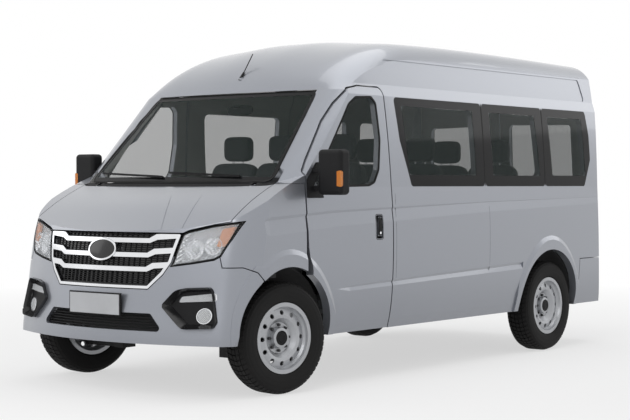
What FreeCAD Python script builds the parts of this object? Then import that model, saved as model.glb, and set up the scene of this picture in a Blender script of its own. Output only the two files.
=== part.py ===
# Minibus: short panel-sided passenger van with steel body, four steel wheels and steered front axle.
# Millimetres. Front faces -Y, the vehicle's left is +X, the ground is Z = 0.
# Body stations are measured from the front axle and moved to the middle of the length at the end.
import FreeCAD, Part
import math
import os
import Sketcher
from FreeCAD import Placement, Rotation, Vector

os.makedirs("parts", exist_ok=True)
doc = FreeCAD.newDocument("minibus")
sheet = doc.addObject("Spreadsheet::Sheet", "sizes")

SIZES = [
    # running gear
    ("wheelbase", 3200), ("front_overhang", 745), ("rear_overhang", 920), ("track", 1734),
    ("tyre_radius", 349.5), ("tyre_width", 195), ("bead_radius", 206), ("flange_radius", 221),
    ("rim_width", 168), ("vent_radius", 15), ("vent_ring", 158),
    ("vent_count", 12), ("hub_radius", 62), ("bore_radius", 27), ("bore_clearance", 0.5),
    ("kingpin_half", 815), ("rest_steer", -8.35), ("arm_reach", 140),
    # body
    ("half_width", 993), ("flare_proud", 6), ("flare_lip", 14), ("sill_height", 335), ("roof_height", 2345),
    ("wall", 45), ("skin", 16), ("glass", 5), ("seat_gap", 0.3), ("door_gap", 10), ("seam", 6),
    ("arch_radius", 430), ("arch_height", 362), ("flare_half", 476), ("flare_rise", 563),
    ("gutter_height", 2165), ("tail_lean", 40), ("belt_height", 1283), ("band_top", 1895),
    ("header_height", 1925),
    # cabin
    ("floor_top", 560), ("floor_wall", 60), ("cushion_height", 880), ("steering_radius", 195),
]
for row, (alias, number) in enumerate(SIZES, start=1):
    sheet.set("A%d" % row, alias)
    sheet.set("B%d" % row, str(number))
    sheet.setAlias("B%d" % row, alias)
doc.recompute()


def value(expression):
    """Number of an expression on the sheet's aliases, such as 'track / 2'."""
    words = expression
    for alias, _ in sorted(SIZES, key=lambda pair: -len(pair[0])):
        words = words.replace("$" + alias, "sizes." + alias)
    return float(sheet.evalExpression(words))


def size(alias):
    return float(sheet.get(alias))


WHEELBASE = size("wheelbase")
WALL = size("wall")
SKIN = size("skin")
GLASS = size("glass")
SEAT_GAP = size("seat_gap")
GAP = size("door_gap")
SEAM = size("seam")
FAR = 1600.0
SHIFT = Vector(0, -(WHEELBASE + size("rear_overhang") - size("front_overhang")) / 2, 0)
FRONT_ARCH = -20.0
REAR_ARCH = WHEELBASE - 27.0
made = []


def keep(label, shape):
    """A sub-part whose form comes from the body's surfaces, placed with the body."""
    solids = shape.Solids
    piece = doc.addObject("Part::Feature", label)
    piece.Label = label
    piece.Shape = solids[0] if len(solids) == 1 else Part.makeCompound(solids)
    piece.Placement = Placement(SHIFT, Rotation())
    made.append(piece)
    return piece


def mirrored(shape):
    return shape.mirror(Vector(0, 0, 0), Vector(1, 0, 0))


def box(x0, x1, y0, y1, z0, z1):
    return Part.makeBox(x1 - x0, y1 - y0, z1 - z0, Vector(x0, y0, z0))


def smooth(points):
    curve = Part.BSplineCurve()
    curve.interpolate([Vector(*point) for point in points])
    return curve.toShape()


def lines(points):
    return [Part.LineSegment(Vector(*a), Vector(*b)).toShape() for a, b in zip(points, points[1:])]


def face_of(points, corner=0.0, grow=0.0):
    """Face inside a closed outline, its corners rounded and its edge moved outwards by grow."""
    wire = Part.makePolygon([Vector(*point) for point in points + points[:1]])
    face = Part.Face(wire)
    if corner:
        face = face.makeOffset2D(-corner, join=0).makeOffset2D(corner, join=0)
    if grow:
        face = face.makeOffset2D(grow, join=0 if grow > 0 else 2)
    return face


def side_prism(points, corner=0.0, grow=0.0, x0=720.0, x1=FAR):
    """Everything on the left side inside an outline given as (along, up)."""
    face = face_of([(x0, along, up) for along, up in points], corner, grow)
    return face.extrude(Vector(x1 - x0, 0, 0))


def front_prism(points, corner=0.0, grow=0.0, y0=-1000.0, y1=750.0):
    """Everything inside an outline seen from the front, given as (across, up)."""
    face = face_of([(across, y0, up) for across, up in points], corner, grow)
    return face.extrude(Vector(0, y1 - y0, 0))


# Body surfaces

def nose_shift(x):
    """How far the nose has swept back at x from the middle."""
    return 250 * (x / 1000) ** 2 + 190 * max(0, (abs(x) - 850) / 150) ** 3


def screen_shift(x):
    return 75 * (x / 1000) ** 2 + 60 * max(0, (abs(x) - 800) / 130) ** 2


def roof_drop(x):
    return 60 * (x / 800) ** 2 + 93 * max(0, (abs(x) - 640) / 222) ** 3


def tail_shift(x):
    return 40 * (x / 1000) ** 2 + 90 * max(0, (abs(x) - 850) / 135) ** 2


def tail_face(z):
    """Station of the rear face at height z, on the middle line."""
    return WHEELBASE + size("rear_overhang") - size("tail_lean") * (z - size("sill_height")) / 1000


STATIONS = [0, 300, 560, 720, 820, 880, 940, 1005]
ACROSS = [-x for x in reversed(STATIONS[1:])] + STATIONS


def cross_section(inset):
    """The sides from sill to gutter: tuck-under, belly between two creases, glass band and tumblehome."""
    half = size("half_width") - inset
    low = size("sill_height") if not inset > SKIN else size("sill_height") - 300
    gutter = size("gutter_height")
    band_low = size("belt_height")
    band_high = size("band_top")
    top = size("roof_height") + 200
    right = [
        Part.LineSegment(Vector(half - 55, 0, low), Vector(half - 38, 0, 400)).toShape(),
        Part.Arc(Vector(half - 38, 0, 400), Vector(half - 18, 0, 520), Vector(half - 8, 0, 640)).toShape(),
        Part.Arc(Vector(half - 8, 0, 640), Vector(half, 0, 880), Vector(half - 6, 0, 1135)).toShape(),
        Part.LineSegment(Vector(half - 6, 0, 1135), Vector(half - 18, 0, band_low)).toShape(),
        Part.Arc(Vector(half - 18, 0, band_low), Vector(half - 35, 0, 1600),
                 Vector(half - 63, 0, band_high)).toShape(),
        Part.LineSegment(Vector(half - 63, 0, band_high), Vector(half - 98, 0, 1972)).toShape(),
        Part.Arc(Vector(half - 98, 0, 1972), Vector(half - 114, 0, 2070),
                 Vector(half - 131, 0, gutter)).toShape(),
        Part.LineSegment(Vector(half - 131, 0, gutter), Vector(half - 135, 0, top)).toShape(),
    ]
    left = [edge.mirror(Vector(0, 0, 0), Vector(1, 0, 0)) for edge in right]
    caps = lines([(-half + 55, 0, low), (half - 55, 0, low)])
    caps += lines([(-half + 135, 0, top), (half - 135, 0, top)])
    wire = Part.Wire(Part.__sortEdges__(right + left + caps))
    return Part.Face(wire).extrude(Vector(0, 6000, 0)).translated(Vector(0, -1200, 0))


def nose(inset):
    """Bumper, grille and lamps: one plan outline that leans back with height."""
    rows = [(250, 13), (385, 3), (560, 33), (800, 71), (1004, 114), (1400, 200)]
    wires = []
    for height, behind in rows:
        front = behind - size("front_overhang")
        curve = smooth([(x, front + inset + nose_shift(x), height) for x in ACROSS])
        reach = ACROSS[-1]
        end = front + inset + nose_shift(reach)
        corners = [(reach, end), (reach, 5000), (-reach, 5000), (-reach, end)]
        sides = lines([(x, y, height) for x, y in corners])
        wires.append(Part.Wire([curve] + sides))
    low = Part.makeLoft(wires, True, False)
    return low.fuse(box(-1005, 1005, -400, 5000, 1390, 2600))


def under_bonnet(inset, lift=0.0):
    """Everything below the bonnet's surface, which is crowned most in front; lift raises its front part."""
    rows = [(-900, 905 + lift, 62), (-631, 1004 + lift, 62), (-350, 1172 + lift, 42), (-52, 1302 - lift, 18),
            (260, 1405 - lift, 15)]
    wires = []
    for x in ACROSS:
        crown = (x / 870) ** 2
        points = [(x, y, z - inset * 1.12 - crown * drop) for y, z, drop in rows]
        base = [points[-1], (x, rows[-1][0], 100), (x, rows[0][0], 100), points[0]]
        wires.append(Part.Wire([smooth(points)] + lines(base)))
    return Part.makeLoft(wires, True, False)


def under_roof(inset):
    """Everything behind the windscreen and below the roof, whose front is domed."""
    screen = [(-330, 1017), (-52, 1302), (554, 1923)]
    crest_z = size("roof_height")
    dome = [(554, 1923, 0), (650, 2035, 0.3), (770, 2130, 0.5), (960, 2230, 0.75), (1220, crest_z - 42, 0.92),
            (1600, crest_z - 10, 1), (2200, crest_z - 1, 1), (3400, crest_z - 9, 1), (4600, crest_z - 27, 1)]
    back = inset * 0.75
    wires = []
    for x in ACROSS:
        shift = screen_shift(x) + back
        crest = [(x, y + shift, z - back - roof_drop(x) * share) for y, z, share in dome]
        straight = [(x, y + shift, z - back) for y, z in (screen[0], screen[2])]
        base = [crest[-1], (x, crest[-1][1], 100), (x, straight[0][1], 100), straight[0]]
        wires.append(Part.Wire(lines(straight) + [smooth(crest)] + lines(base)))
    return Part.makeLoft(wires, True, False)


def before_tail(inset):
    """Everything ahead of the flat, leaning rear end with its rounded corners."""
    heights = (200, 2700)
    wires = []
    for x in ACROSS:
        back = [(x, tail_face(z) - inset - tail_shift(x), z) for z in heights]
        base = [back[-1], (x, -1200, heights[1]), (x, -1200, heights[0]), back[0]]
        wires.append(Part.Wire(lines(back + base[1:])))
    return Part.makeLoft(wires, True, False)


def envelope(inset):
    """The whole body's outer form, moved inwards by inset."""
    top = under_bonnet(inset).fuse(under_roof(inset))
    return cross_section(inset).common(nose(inset)).common(before_tail(inset)).common(top)



outer = envelope(0)
proud = envelope(-size("flare_proud"))
lip = envelope(-size("flare_lip"))
inner = envelope(WALL)
lining = envelope(SKIN)
glass_back = envelope(GLASS)
rebate_back = envelope(GLASS + SEAT_GAP)
inside = envelope(WALL + SEAT_GAP)
screen_front = under_roof(-SEAM)
bonnet_end = under_roof(-3 * SEAM)
nose_front = nose(0)

# Wheel arches: round openings with a proud flare that is higher than it is wide.
# On the bumper it is a low step, on the other panels a bevel that rises to a lip.

ARCHES = (FRONT_ARCH, REAR_ARCH)


def arch_cylinder(station, radius, x0, x1):
    return Part.makeCylinder(radius, x1 - x0, Vector(x0, station, size("arch_height")), Vector(1, 0, 0))


def flare(station):
    ring = Part.Ellipse(Vector(0, 0, 0), size("flare_rise"), size("flare_half"))
    face = Part.Face(Part.Wire(ring.toShape()))
    face.rotate(Vector(0, 0, 0), Vector(0, 1, 0), -90)
    face.translate(Vector(700, station, size("arch_height")))
    return face.extrude(Vector(FAR, 0, 0))


def bevel(station):
    """The flare's sloping form: an elliptic block that narrows from the skin out to its lip."""
    wires = []
    for x, narrow in ((700, -BEVEL_START), (size("half_width") - 12, -BEVEL_START),
                      (size("half_width") + size("flare_lip"), BEVEL_WIDTH)):
        ring = Part.Ellipse(Vector(0, 0, 0), size("flare_rise") - narrow, size("flare_half") - narrow)
        wire = Part.Wire(ring.toShape())
        wire.rotate(Vector(0, 0, 0), Vector(0, 1, 0), -90)
        wire.translate(Vector(x, station, size("arch_height")))
        wires.append(wire)
    return Part.makeLoft(wires, True, True)


def both(shape):
    return [shape, mirrored(shape)]


def groove(section, run):
    """A long furrow: its section, as (off the widest line, up), set along run at (station, height, lift)."""
    wires = []
    for station, height, lift in run:
        corners = [Vector(size("half_width") + x + lift, station, height + z) for x, z in section]
        wires.append(Part.makePolygon(corners + corners[:1]))
    return Part.makeLoft(wires, True, True)


BEVEL_START, BEVEL_WIDTH = 8.0, 62.0
# Creases along the sides: an upward-facing shoulder under a narrow undercut
BELT_SECTION = [(-13, 0), (5, 40), (5, -140)]
BELT_RUN = [(-340, 1060, 9), (-200, 1080, 0), (440, 1118, 0), (2227, 1167, 0), (4070, 1198, 0)]
SILL_SECTION = [(-16, 0), (5, 35), (5, -78)]
SILL_RUN = [(440, 628, 9), (600, 633, 0), (2760, 694, 0)]
creases = [groove(BELT_SECTION, BELT_RUN), groove(SILL_SECTION, SILL_RUN)]

openings = [tool for station in ARCHES
            for tool in both(arch_cylinder(station, size("arch_radius"), 540, FAR))]
flares = [proud.common(tool) for station in ARCHES for tool in both(flare(station))]
left_flares = [lip.common(bevel(station)) for station in ARCHES]
left_openings = [openings[0], openings[2]]
LEFT = box(0, FAR, -1500, 5000, 0, 3000)
left_outer = outer.common(LEFT).cut(creases).fuse(left_flares)
left_wall = left_outer.cut([inner] + left_openings)
full_wall = outer.cut(inner)
glass_layer = outer.cut(glass_back)
rebate_layer = proud.cut(rebate_back)

# Outlines seen from the side, as (along from the front axle, up)

SILL = size("sill_height")
GUTTER = size("gutter_height")
HEADER = size("header_height")
DOOR = [(1076, SILL - 40), (1076, 1265), (1045, 1958), (780, 1958), (672, 1938), (545, 1832), (425, 1711),
        (213, 1455), (155, 1380), (150, 1150), (160, 909), (190, 760), (190, SILL - 40)]
DOOR_WINDOW = [(235, 1290), (350, 1440), (650, 1820), (730, 1868), (900, 1876), (940, 1840),
               (958, 1600), (930, 1400), (880, 1320), (820, 1300)]
SLIDER = [(1076, SILL + GAP), (1076, 1265), (1050, 2130), (2248, 2130), (2248, SILL + GAP)]
PANES = [
    [(1150, 1892), (1190, 1602), (1311, 1286), (2240, 1286), (2240, 1892)],
    [(2251, 1892), (2251, 1286), (3110, 1286), (3110, 1892)],
    [(3118, 1892), (3118, 1286), (3740, 1286), (3850, 1500), (3850, 1700), (3813, 1892)],
]
PANE_HOLES = [
    [(1236, 1835), (1290, 1366), (2130, 1366), (2122, 1835)],
    [(2350, 1830), (2364, 1366), (3040, 1366), (3001, 1830)],
    [(3199, 1830), (3232, 1368), (3765, 1370), (3745, 1826)],
]
REAR_HEADER = [(3990, GUTTER), (3990, 2080), (4400, 2080)]
ROOF_REGION = [(200, HEADER), (680, HEADER), (1100, GUTTER)] + REAR_HEADER + [(4400, 2800), (200, 2800)]
SIDE_REGION = [(-200, 1306), (600, 1306), (600, SILL - 40), (4400, SILL - 40)] + REAR_HEADER[::-1] + [
    (1100, GUTTER), (680, HEADER), (-200, HEADER)]
BUMPER_SEAM = [(-1000, 800), (-400, 801), (-311, 768), (-240, 690)]
FENDER_REGION = BUMPER_SEAM + [(150, 690), (150, 1306), (-1000, 1306)]
BUMPER_REGION = BUMPER_SEAM + [(-240, SILL - 10), (-1000, SILL - 10)]
ROOF_SIDE_RECESS = [(1094, 1976), (1132, 2150), (3822, 2152), (3880, 1976)]
HANDLE_LOW, HANDLE_HIGH, HANDLE_HALF, HANDLE_FLOOR = 940.0, 1096.0, 36.0, 968.0

# Outlines seen from the front, as (across, up)

def two_sided(half):
    """A closed outline from the points of its left half."""
    return [(-x, z) for x, z in half[::-1]] + half


BONNET = two_sided([(586, 1005), (622, 1022), (772, 1058), (872, 1076), (850, 1420)])
LAMP = [(536, 803), (548, 828), (590, 999), (622, 1016), (772, 1052), (930, 1078), (893, 972), (845, 869),
        (807, 846), (686, 824)]
CHIN = two_sided([(838, 868), (862, 790)])
GRILLE = two_sided([(582, 1002), (540, 828), (490, 752), (396, 664)])
GRILLE_HOLE = two_sided([(562, 1020), (520, 838), (474, 768), (388, 684)])
FOG = [(517, 569), (599, 663), (650, 678), (808, 686), (826, 660), (868, 478), (850, 441), (669, 433)]
INTAKE = [(-435, 519), (435, 519), (535, 412), (-535, 412)]
SCREEN = [(-824, 1318), (824, 1318), (731, 1915), (-731, 1915)]
SCREEN_HOLE = [(-790, 1350), (790, 1350), (705, 1888), (-705, 1888)]
REAR_DOOR = [(5, 712), (800, 712), (800, 2040), (745, 2105), (5, 2118)]
REAR_WINDOW = [(95, 1330), (715, 1330), (700, 1800), (95, 1812)]
LAMP_FACE = 4010.0
TAIL_LAMP = [(862, 843), (FAR, 843), (FAR, 1325), (862, 1325)]


def window(pane, hole, corner, lap_corner):
    """What a window cuts from its panel, hole and rebate, and the pane that lies there flush."""
    rebate = rebate_layer.common(pane(lap_corner, SEAT_GAP))
    return [hole(corner, 0), rebate], glass_layer.common(pane(lap_corner, 0))


def from_side(points):
    return lambda corner, grow: side_prism(points, corner, grow)


def from_front(points, y0=-1000.0, y1=750.0):
    return lambda corner, grow: front_prism(points, corner, grow, y0, y1)


def grown(points, reach):
    """An outline moved outwards by reach, its corners kept."""
    face = face_of([(0, a, b) for a, b in points], 0, reach)
    return [(v.Point.y, v.Point.z) for v in face.OuterWire.OrderedVertexes]


left_wall = left_wall.cut(rebate_layer.common(side_prism(ROOF_SIDE_RECESS, 25)))


def pull(panel, station):
    """An upright pull handle in its recess, in a door on the left side."""
    front, rear = station - HANDLE_HALF, station + HANDLE_HALF
    room = [(front, HANDLE_LOW), (rear, HANDLE_LOW), (rear, HANDLE_HIGH), (front, HANDLE_HIGH)]
    bar = box(HANDLE_FLOOR - 2, 992, station - 18, station + 18, HANDLE_LOW + 18, HANDLE_HIGH - 12)
    return panel.cut(side_prism(room, 12, 0, HANDLE_FLOOR)).fuse(bar)


# Front doors, each with its hinge pins across two pockets in the front edge

PIN_X, PIN_Y, PIN = 955.0, 215.0, 7.0
EYE_WALL = 6.0
HINGES = ((880, 930), (1150, 1200))


def with_pins(shape):
    for low, high in HINGES:
        shape = shape.cut(box(915, PIN_X + PIN + EYE_WALL + 5, 140, PIN_Y + 26, low - 6, high + 6))
        shape = shape.fuse(Part.makeCylinder(PIN, high - low + 20, Vector(PIN_X, PIN_Y, low - 10)))
    return shape


door_hole = side_prism(DOOR, 50)
door_prism = side_prism(DOOR, 50, -GAP)
door = left_wall.common(door_prism).cut(box(0, FAR, -500, 1200, 0, SILL + 2))
door_cut, door_pane = window(from_side(grown(DOOR_WINDOW, 12)), from_side(DOOR_WINDOW), 30, 30)
door = pull(with_pins(door.cut(door_cut)), 917)
keep("front_door_left", door)
keep("front_door_right", mirrored(door))
keep("door_glass_left", door_pane)
keep("door_glass_right", mirrored(door_pane))

# Windscreen, roof and sides

roof = full_wall.common(side_prism(ROOF_REGION, 0, 0, -FAR, FAR))
side = left_wall.common(side_prism(SIDE_REGION)).cut(door_hole)
screen_hole = front_prism(SCREEN_HOLE, 40)
screen_lap = rebate_layer.common(front_prism(SCREEN, 50, SEAT_GAP))
roof = roof.cut([screen_hole, screen_lap] + both(door_hole))
side = side.cut([screen_hole, screen_lap])
windscreen = glass_layer.common(front_prism(SCREEN, 50))
rear_hole = front_prism(grown(REAR_DOOR, SEAM), 0, 0, 3700, 4400)
side = side.cut([rear_hole, box(0, FAR, 3640, 5000, 0, 706), front_prism(BONNET, 0, 0, -1000, 100)])
lamp_space = front_prism(TAIL_LAMP, 0, SEAM / 2, LAMP_FACE, 4400)
side = side.cut(lamp_space)
roof = roof.cut([rear_hole, mirrored(rear_hole)])
windows = [window(from_side(pane), from_side(hole), 45, 30) for pane, hole in zip(PANES, PANE_HOLES)]
window_cuts = [cut for cut, _ in windows]
panes = [glass for _, glass in windows]
side_left = side.cut(window_cuts[0] + window_cuts[1] + window_cuts[2])
slider = left_wall.common(side_prism(SLIDER, 40, -SEAM)).cut(window_cuts[0])
side_right = side.cut([side_prism(SLIDER, 40)] + window_cuts[1] + window_cuts[2])
AERIAL_FOOT, AERIAL_TIP = Vector(0, 640, 2020), Vector(0, 774, 2209)
aerial_way = AERIAL_TIP - AERIAL_FOOT
aerial = Part.makeCone(14, 6, 70, AERIAL_FOOT, aerial_way).fuse(
    Part.makeCylinder(3.5, aerial_way.Length, AERIAL_FOOT, aerial_way))
keep("roof", roof.fuse(aerial.cut(inner)))
keep("windscreen", windscreen)
keep("side_glass", Part.makeCompound(panes + [mirrored(pane) for pane in panes]))
keep("sliding_door", mirrored(pull(slider, 1170)))

# Rear doors, lamps and bumper. Each door hangs on barrels that lean with the rear face.

TAIL_PIN_X, BARREL, LEAF = 806.0, 9.0, 5.0
TAIL_PIN_OFF = BARREL + 1
tail_edge = outer.common(box(740, 860, 4000, 4400, 700, 2000))
REAR_HINGES = ((745, 825), (1380, 1460), (1900, 1980))


def tail_pin(z):
    """Point of the rear door's hinge line at height z."""
    return Vector(TAIL_PIN_X, tail_face(z) - tail_shift(TAIL_PIN_X) + TAIL_PIN_OFF, z)


def rear_leaf(low, high, x0, x1):
    """A barrel on the hinge line with its leaf lying on the rear face from x0 to x1."""
    barrel = Part.makeCylinder(BARREL, high - low, tail_pin(low), tail_pin(high) - tail_pin(low))
    patch = tail_edge.common(box(x0, x1, 4000, 4400, low, high))
    leaf = patch.translated(Vector(0, LEAF, 0)).cut(patch)
    return barrel.fuse(leaf.common(box(x0, x1, tail_face(high) - 60, 4400, low, high)))


rear_door = full_wall.common(front_prism(REAR_DOOR, 0, 0, 3700, 4400))
rear_cut, rear_pane = window(from_front(grown(REAR_WINDOW, 15), 3700, 4400),
                             from_front(REAR_WINDOW, 3700, 4400), 40, 40)
door_leaves = [rear_leaf(low, (low + high) / 2 - 1, 745, TAIL_PIN_X) for low, high in REAR_HINGES]
side_leaves = [rear_leaf((low + high) / 2, high, TAIL_PIN_X, 850) for low, high in REAR_HINGES]
rear_door = rear_door.cut(rear_cut).fuse(door_leaves)
keep("side_panel_left", side_left.fuse(side_leaves))
keep("side_panel_right", mirrored(side_right.fuse(side_leaves)))
keep("rear_door_right", mirrored(rear_door))
rear_door = rear_door.cut(box(30, 140, tail_face(1035) - 20, FAR + 3000, 1010, 1060))
keep("rear_door_left", rear_door.fuse(box(44, 126, tail_face(1035) - 22, tail_face(1035) - 1, 1027, 1043)))
keep("rear_glass_left", rear_pane)
keep("rear_glass_right", mirrored(rear_pane))
tail = full_wall.common(front_prism(TAIL_LAMP, 0, 0, LAMP_FACE, 4400))
keep("tail_lamps", Part.makeCompound(both(tail)))
rear_bumper = full_wall.common(box(-FAR, FAR, 3646, 5000, 0, 700)).cut(openings)
keep("rear_bumper", rear_bumper)

# Nose

# Two raised fields widen towards the front of the bonnet, as (across, along) of their edge and their lift
FIELDS = (((384, -90), (599, -600), 2.5), ((90, -90), (450, -603), 5.5))
bonnet = outer
for (near, back), (wide, front), lift in FIELDS:
    outline = [(-near, back), (-wide, front), (-wide, -1000), (wide, -1000), (wide, front), (near, back)]
    field = face_of([(x, y, 900) for x, y in outline]).extrude(Vector(0, 0, 500))
    bonnet = bonnet.fuse(under_bonnet(0, lift).common(field).common(nose_front))
bonnet = bonnet.common(front_prism(BONNET, 0, -SEAM / 2)).cut([lining, bonnet_end])
HINGE_X, HINGE_Y, HINGE_Z, HINGE_PIN = 700.0, 0.0, 1292.0, 5.0
HINGE_ARM = [(-150, 1236), (-60, 1290), (HINGE_Y + 8, HINGE_Z + 9), (HINGE_Y + 8, HINGE_Z - 5), (-60, 1262),
             (-150, 1218)]
for x in (-HINGE_X, HINGE_X):
    hinge_arm = side_prism(HINGE_ARM, 0, 0, x - 8, x + 8).common(outer)
    eye = Part.makeCylinder(HINGE_PIN + 6, 16, Vector(x - 8, HINGE_Y, HINGE_Z), Vector(1, 0, 0))
    bore = Part.makeCylinder(HINGE_PIN + 0.5, 16, Vector(x - 8, HINGE_Y, HINGE_Z), Vector(1, 0, 0))
    bonnet = bonnet.fuse(hinge_arm.fuse(eye).cut(bore))
keep("bonnet", bonnet)
fender = left_outer.common(side_prism(FENDER_REGION, 0, -SEAM / 2, 600))
fender = fender.cut([lining, left_openings[0], front_prism(BONNET, 0, SEAM / 2),
                     front_prism(LAMP, 0, SEAM / 2, -1000, 0), front_prism(GRILLE, 0, SEAM / 2, -1000, 0),
                     front_prism(CHIN, 0, SEAM / 2, -1000, -300)])
fender = max(fender.Solids, key=lambda solid: solid.Volume)
keep("fenders", Part.makeCompound(both(fender)))
headlamp = full_wall.common(front_prism(LAMP, 8, -SEAM / 2, -1000, 0))
keep("headlamps", Part.makeCompound(both(headlamp)))
nose_zone = side_prism(BUMPER_REGION, 0, -SEAM / 2, -FAR, FAR)
nose_zone = nose_zone.fuse(front_prism(CHIN, 0, -SEAM / 2, -1000, -380))
bumper = outer.common(nose_zone).fuse([tool.common(nose_zone) for tool in flares[:2]])
PLATE_HOLE, PLATE_SPACING, PLATE_HEIGHT = 3.0, 200.0, 561.0
plate_holes = [Part.makeCylinder(PLATE_HOLE, 300, Vector(x, -850, PLATE_HEIGHT), Vector(0, 1, 0))
               for x in (-PLATE_SPACING / 2, PLATE_SPACING / 2)]
bumper = bumper.cut([inner, front_prism(GRILLE, 0, SEAM / 2, -1000, 0), front_prism(INTAKE, 20, 0, -1000, 0)]
                    + openings[:2] + plate_holes + both(front_prism(LAMP, 0, SEAM / 2, -1000, 0))
                    + both(front_prism(FOG, 25, 0, -1000, 0)))
keep("front_bumper", bumper)
fog = full_wall.common(front_prism(FOG, 25, -SEAT_GAP, -1000, 0))
fog = fog.common(nose(25))
keep("fog_lamps", Part.makeCompound(both(fog)))

# Grille: three bars that kink up at their ends, inside a frame in front of a mesh panel

BARS = (944, 856, 770)
MESH_DEPTH = 30.0
BAR, KINK, KINK_RISE, END_RISE = 28.0, 375.0, 20.0, 32.0
bar_faces = []
for low in BARS:
    under = [(-600, low + END_RISE), (-KINK - 50, low + KINK_RISE), (-KINK, low)]
    over = [(KINK - 10, low + BAR), (KINK + 35, low + BAR + KINK_RISE + 5), (600, low + BAR + END_RISE + 5)]
    outline = under + [(-x, z) for x, z in under[::-1]] + over[::-1] + [(-x, z) for x, z in over]
    bar_faces.append(front_prism(outline, 0, 0, -1000, -300))
pocket = front_prism(GRILLE_HOLE, 10, 0.5, -1000, -300).cut(bar_faces).cut(nose(MESH_DEPTH))
grille = outer.common(front_prism(GRILLE, 12, -SEAM / 2, -1000, -300)).cut([nose(WALL), pocket])
keep("grille", grille)

# Structure below and behind the skin

RAIL_IN, RAIL_OUT, RAIL_LOW = 470.0, 550.0, 420.0
RAIL_TOP = size("floor_top") - size("floor_wall")
LINER = 12.0
LINER_OUTSIDE = size("arch_radius") + LINER + SEAT_GAP
arch_room = [tool for station in ARCHES
             for tool in both(arch_cylinder(station, LINER_OUTSIDE, 548 - SEAT_GAP, FAR))]
rails = [box(side * RAIL_IN, side * RAIL_OUT, -900, 4300, RAIL_LOW, RAIL_TOP) if side > 0
         else box(-RAIL_OUT, -RAIL_IN, -900, 4300, RAIL_LOW, RAIL_TOP) for side in (-1, 1)]
members = [box(-RAIL_IN, RAIL_IN, y, y + 60, RAIL_LOW, RAIL_TOP) for y in (-560, 900, 2300)]
members.append(box(-700, 700, 3980, 4300, RAIL_LOW, RAIL_TOP))
chassis = rails[0].fuse([rails[1]] + members).common(inside)
TOW_X, TOW_Y, TOW_HOLE, TOW_MIDDLE = 640.0, 40.0, 6.5, 4010.0
for x in (-TOW_X / 2, TOW_X / 2):
    for y in (TOW_MIDDLE - TOW_Y / 2, TOW_MIDDLE + TOW_Y / 2):
        chassis = chassis.cut(Part.makeCylinder(TOW_HOLE, 80, Vector(x, y, RAIL_LOW)))
keep("chassis_frame", chassis)

BULK_FRONT, BULK_REAR = 20.0, 60.0
POST_IN, POST_OUT = 838.0, 866.0
floor = box(-FAR, FAR, BULK_REAR, 4300, RAIL_TOP, size("floor_top")).common(inside).cut(arch_room)
floor = floor.cut(both(box(918, FAR, BULK_REAR, 1076 + GAP, 0, 2000)))
keep("floor_pan", floor)

bulkhead = box(-POST_OUT, POST_OUT, BULK_FRONT, BULK_REAR, RAIL_TOP, 1500).common(inside)
wings = box(-FAR, FAR, BULK_FRONT, BULK_REAR, 830, 1240).common(cross_section(SKIN + SEAT_GAP))
posts = both(box(POST_IN, POST_OUT, BULK_REAR, 256, size("floor_top"), 1240))
bulkhead = bulkhead.fuse([wings] + posts)
bulkhead = bulkhead.cut(arch_room)

# Door hinges: an eye on the hinge post round each pin
for low, high in HINGES:
    arm = box(POST_OUT - 5, PIN_X, PIN_Y - 9, PIN_Y + 9, low, high)
    eye = Part.makeCylinder(PIN + EYE_WALL, high - low, Vector(PIN_X, PIN_Y, low))
    bore = Part.makeCylinder(PIN + 0.4, high - low, Vector(PIN_X, PIN_Y, low))
    bulkhead = bulkhead.fuse(both(arm.fuse(eye).cut(bore)))
keep("bulkhead", bulkhead)

cowl = full_wall.common(box(-846, 846, -200, 200, 1215, 1318 - SEAM)).common(screen_front)
cowl = cowl.cut(box(-FAR, FAR, BULK_FRONT - SEAT_GAP, 400, 0, 1240))
for x in (-HINGE_X, HINGE_X):
    cowl = cowl.cut(box(x - 15, x + 15, -200, 24, 1200, 1400))
    cowl = cowl.fuse(Part.makeCylinder(HINGE_PIN, 60, Vector(x - 30, HINGE_Y, HINGE_Z), Vector(1, 0, 0)))
keep("cowl", cowl)

panel = box(-900, 900, -480, -450, 400, 985).common(inside).cut(arch_room + rails)
struts = [box(x - 20, x + 20, -900, -479, z, z + 30).common(inside) for x in (-430, 430) for z in (720, 940)]
panel = panel.fuse(struts).cut(box(-400, 400, -500, -400, 560, 900))
keep("front_panel", panel)

liners = []
STRUT_TOP = 742.0
for station, edge in ((FRONT_ARCH, 893), (REAR_ARCH, 930)):
    shell = arch_cylinder(station, size("arch_radius") + LINER, 548, edge)
    shell = shell.cut(arch_cylinder(station, size("arch_radius"), 548 + LINER, FAR))
    shell = shell.cut(box(0, FAR, -1000, 5000, 0, RAIL_LOW))
    liners += both(shell.cut(box(0, 552, -1000, 5000, RAIL_LOW - 1, RAIL_TOP + 1)).common(inside))
    if station == FRONT_ARCH:
        mount = Part.makeCylinder(32, 52, Vector(size("kingpin_half"), 0, STRUT_TOP + SEAT_GAP))
        liners = both(liners[0].fuse(mount))
    else:
        flap_y = station + size("arch_radius") - 2
        flap = box(700, 900, flap_y, flap_y + 9, 330, RAIL_LOW + 40)
        liners = liners[:2] + both(liners[2].fuse(flap))
keep("wheel_arch_liners", Part.makeCompound(liners))

# Engine as one block with the gearbox and the shaft to the rear axle
engine = box(-330, 330, -430, -30, RAIL_LOW, 900).cut(members[0])
gearbox = box(-110, 110, -31, 640, RAIL_LOW, RAIL_TOP - SEAT_GAP)
gearbox = gearbox.fuse(box(-100, 100, 240, 640, 340, RAIL_LOW + 1))
SHAFT_REAR = WHEELBASE - 75 - 1.2
drive = Vector(0, SHAFT_REAR - 620, -30)
shaft = Part.makeCylinder(30, drive.Length, Vector(0, 620, 384), drive)
keep("engine", engine.fuse([gearbox, shaft]))

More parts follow.
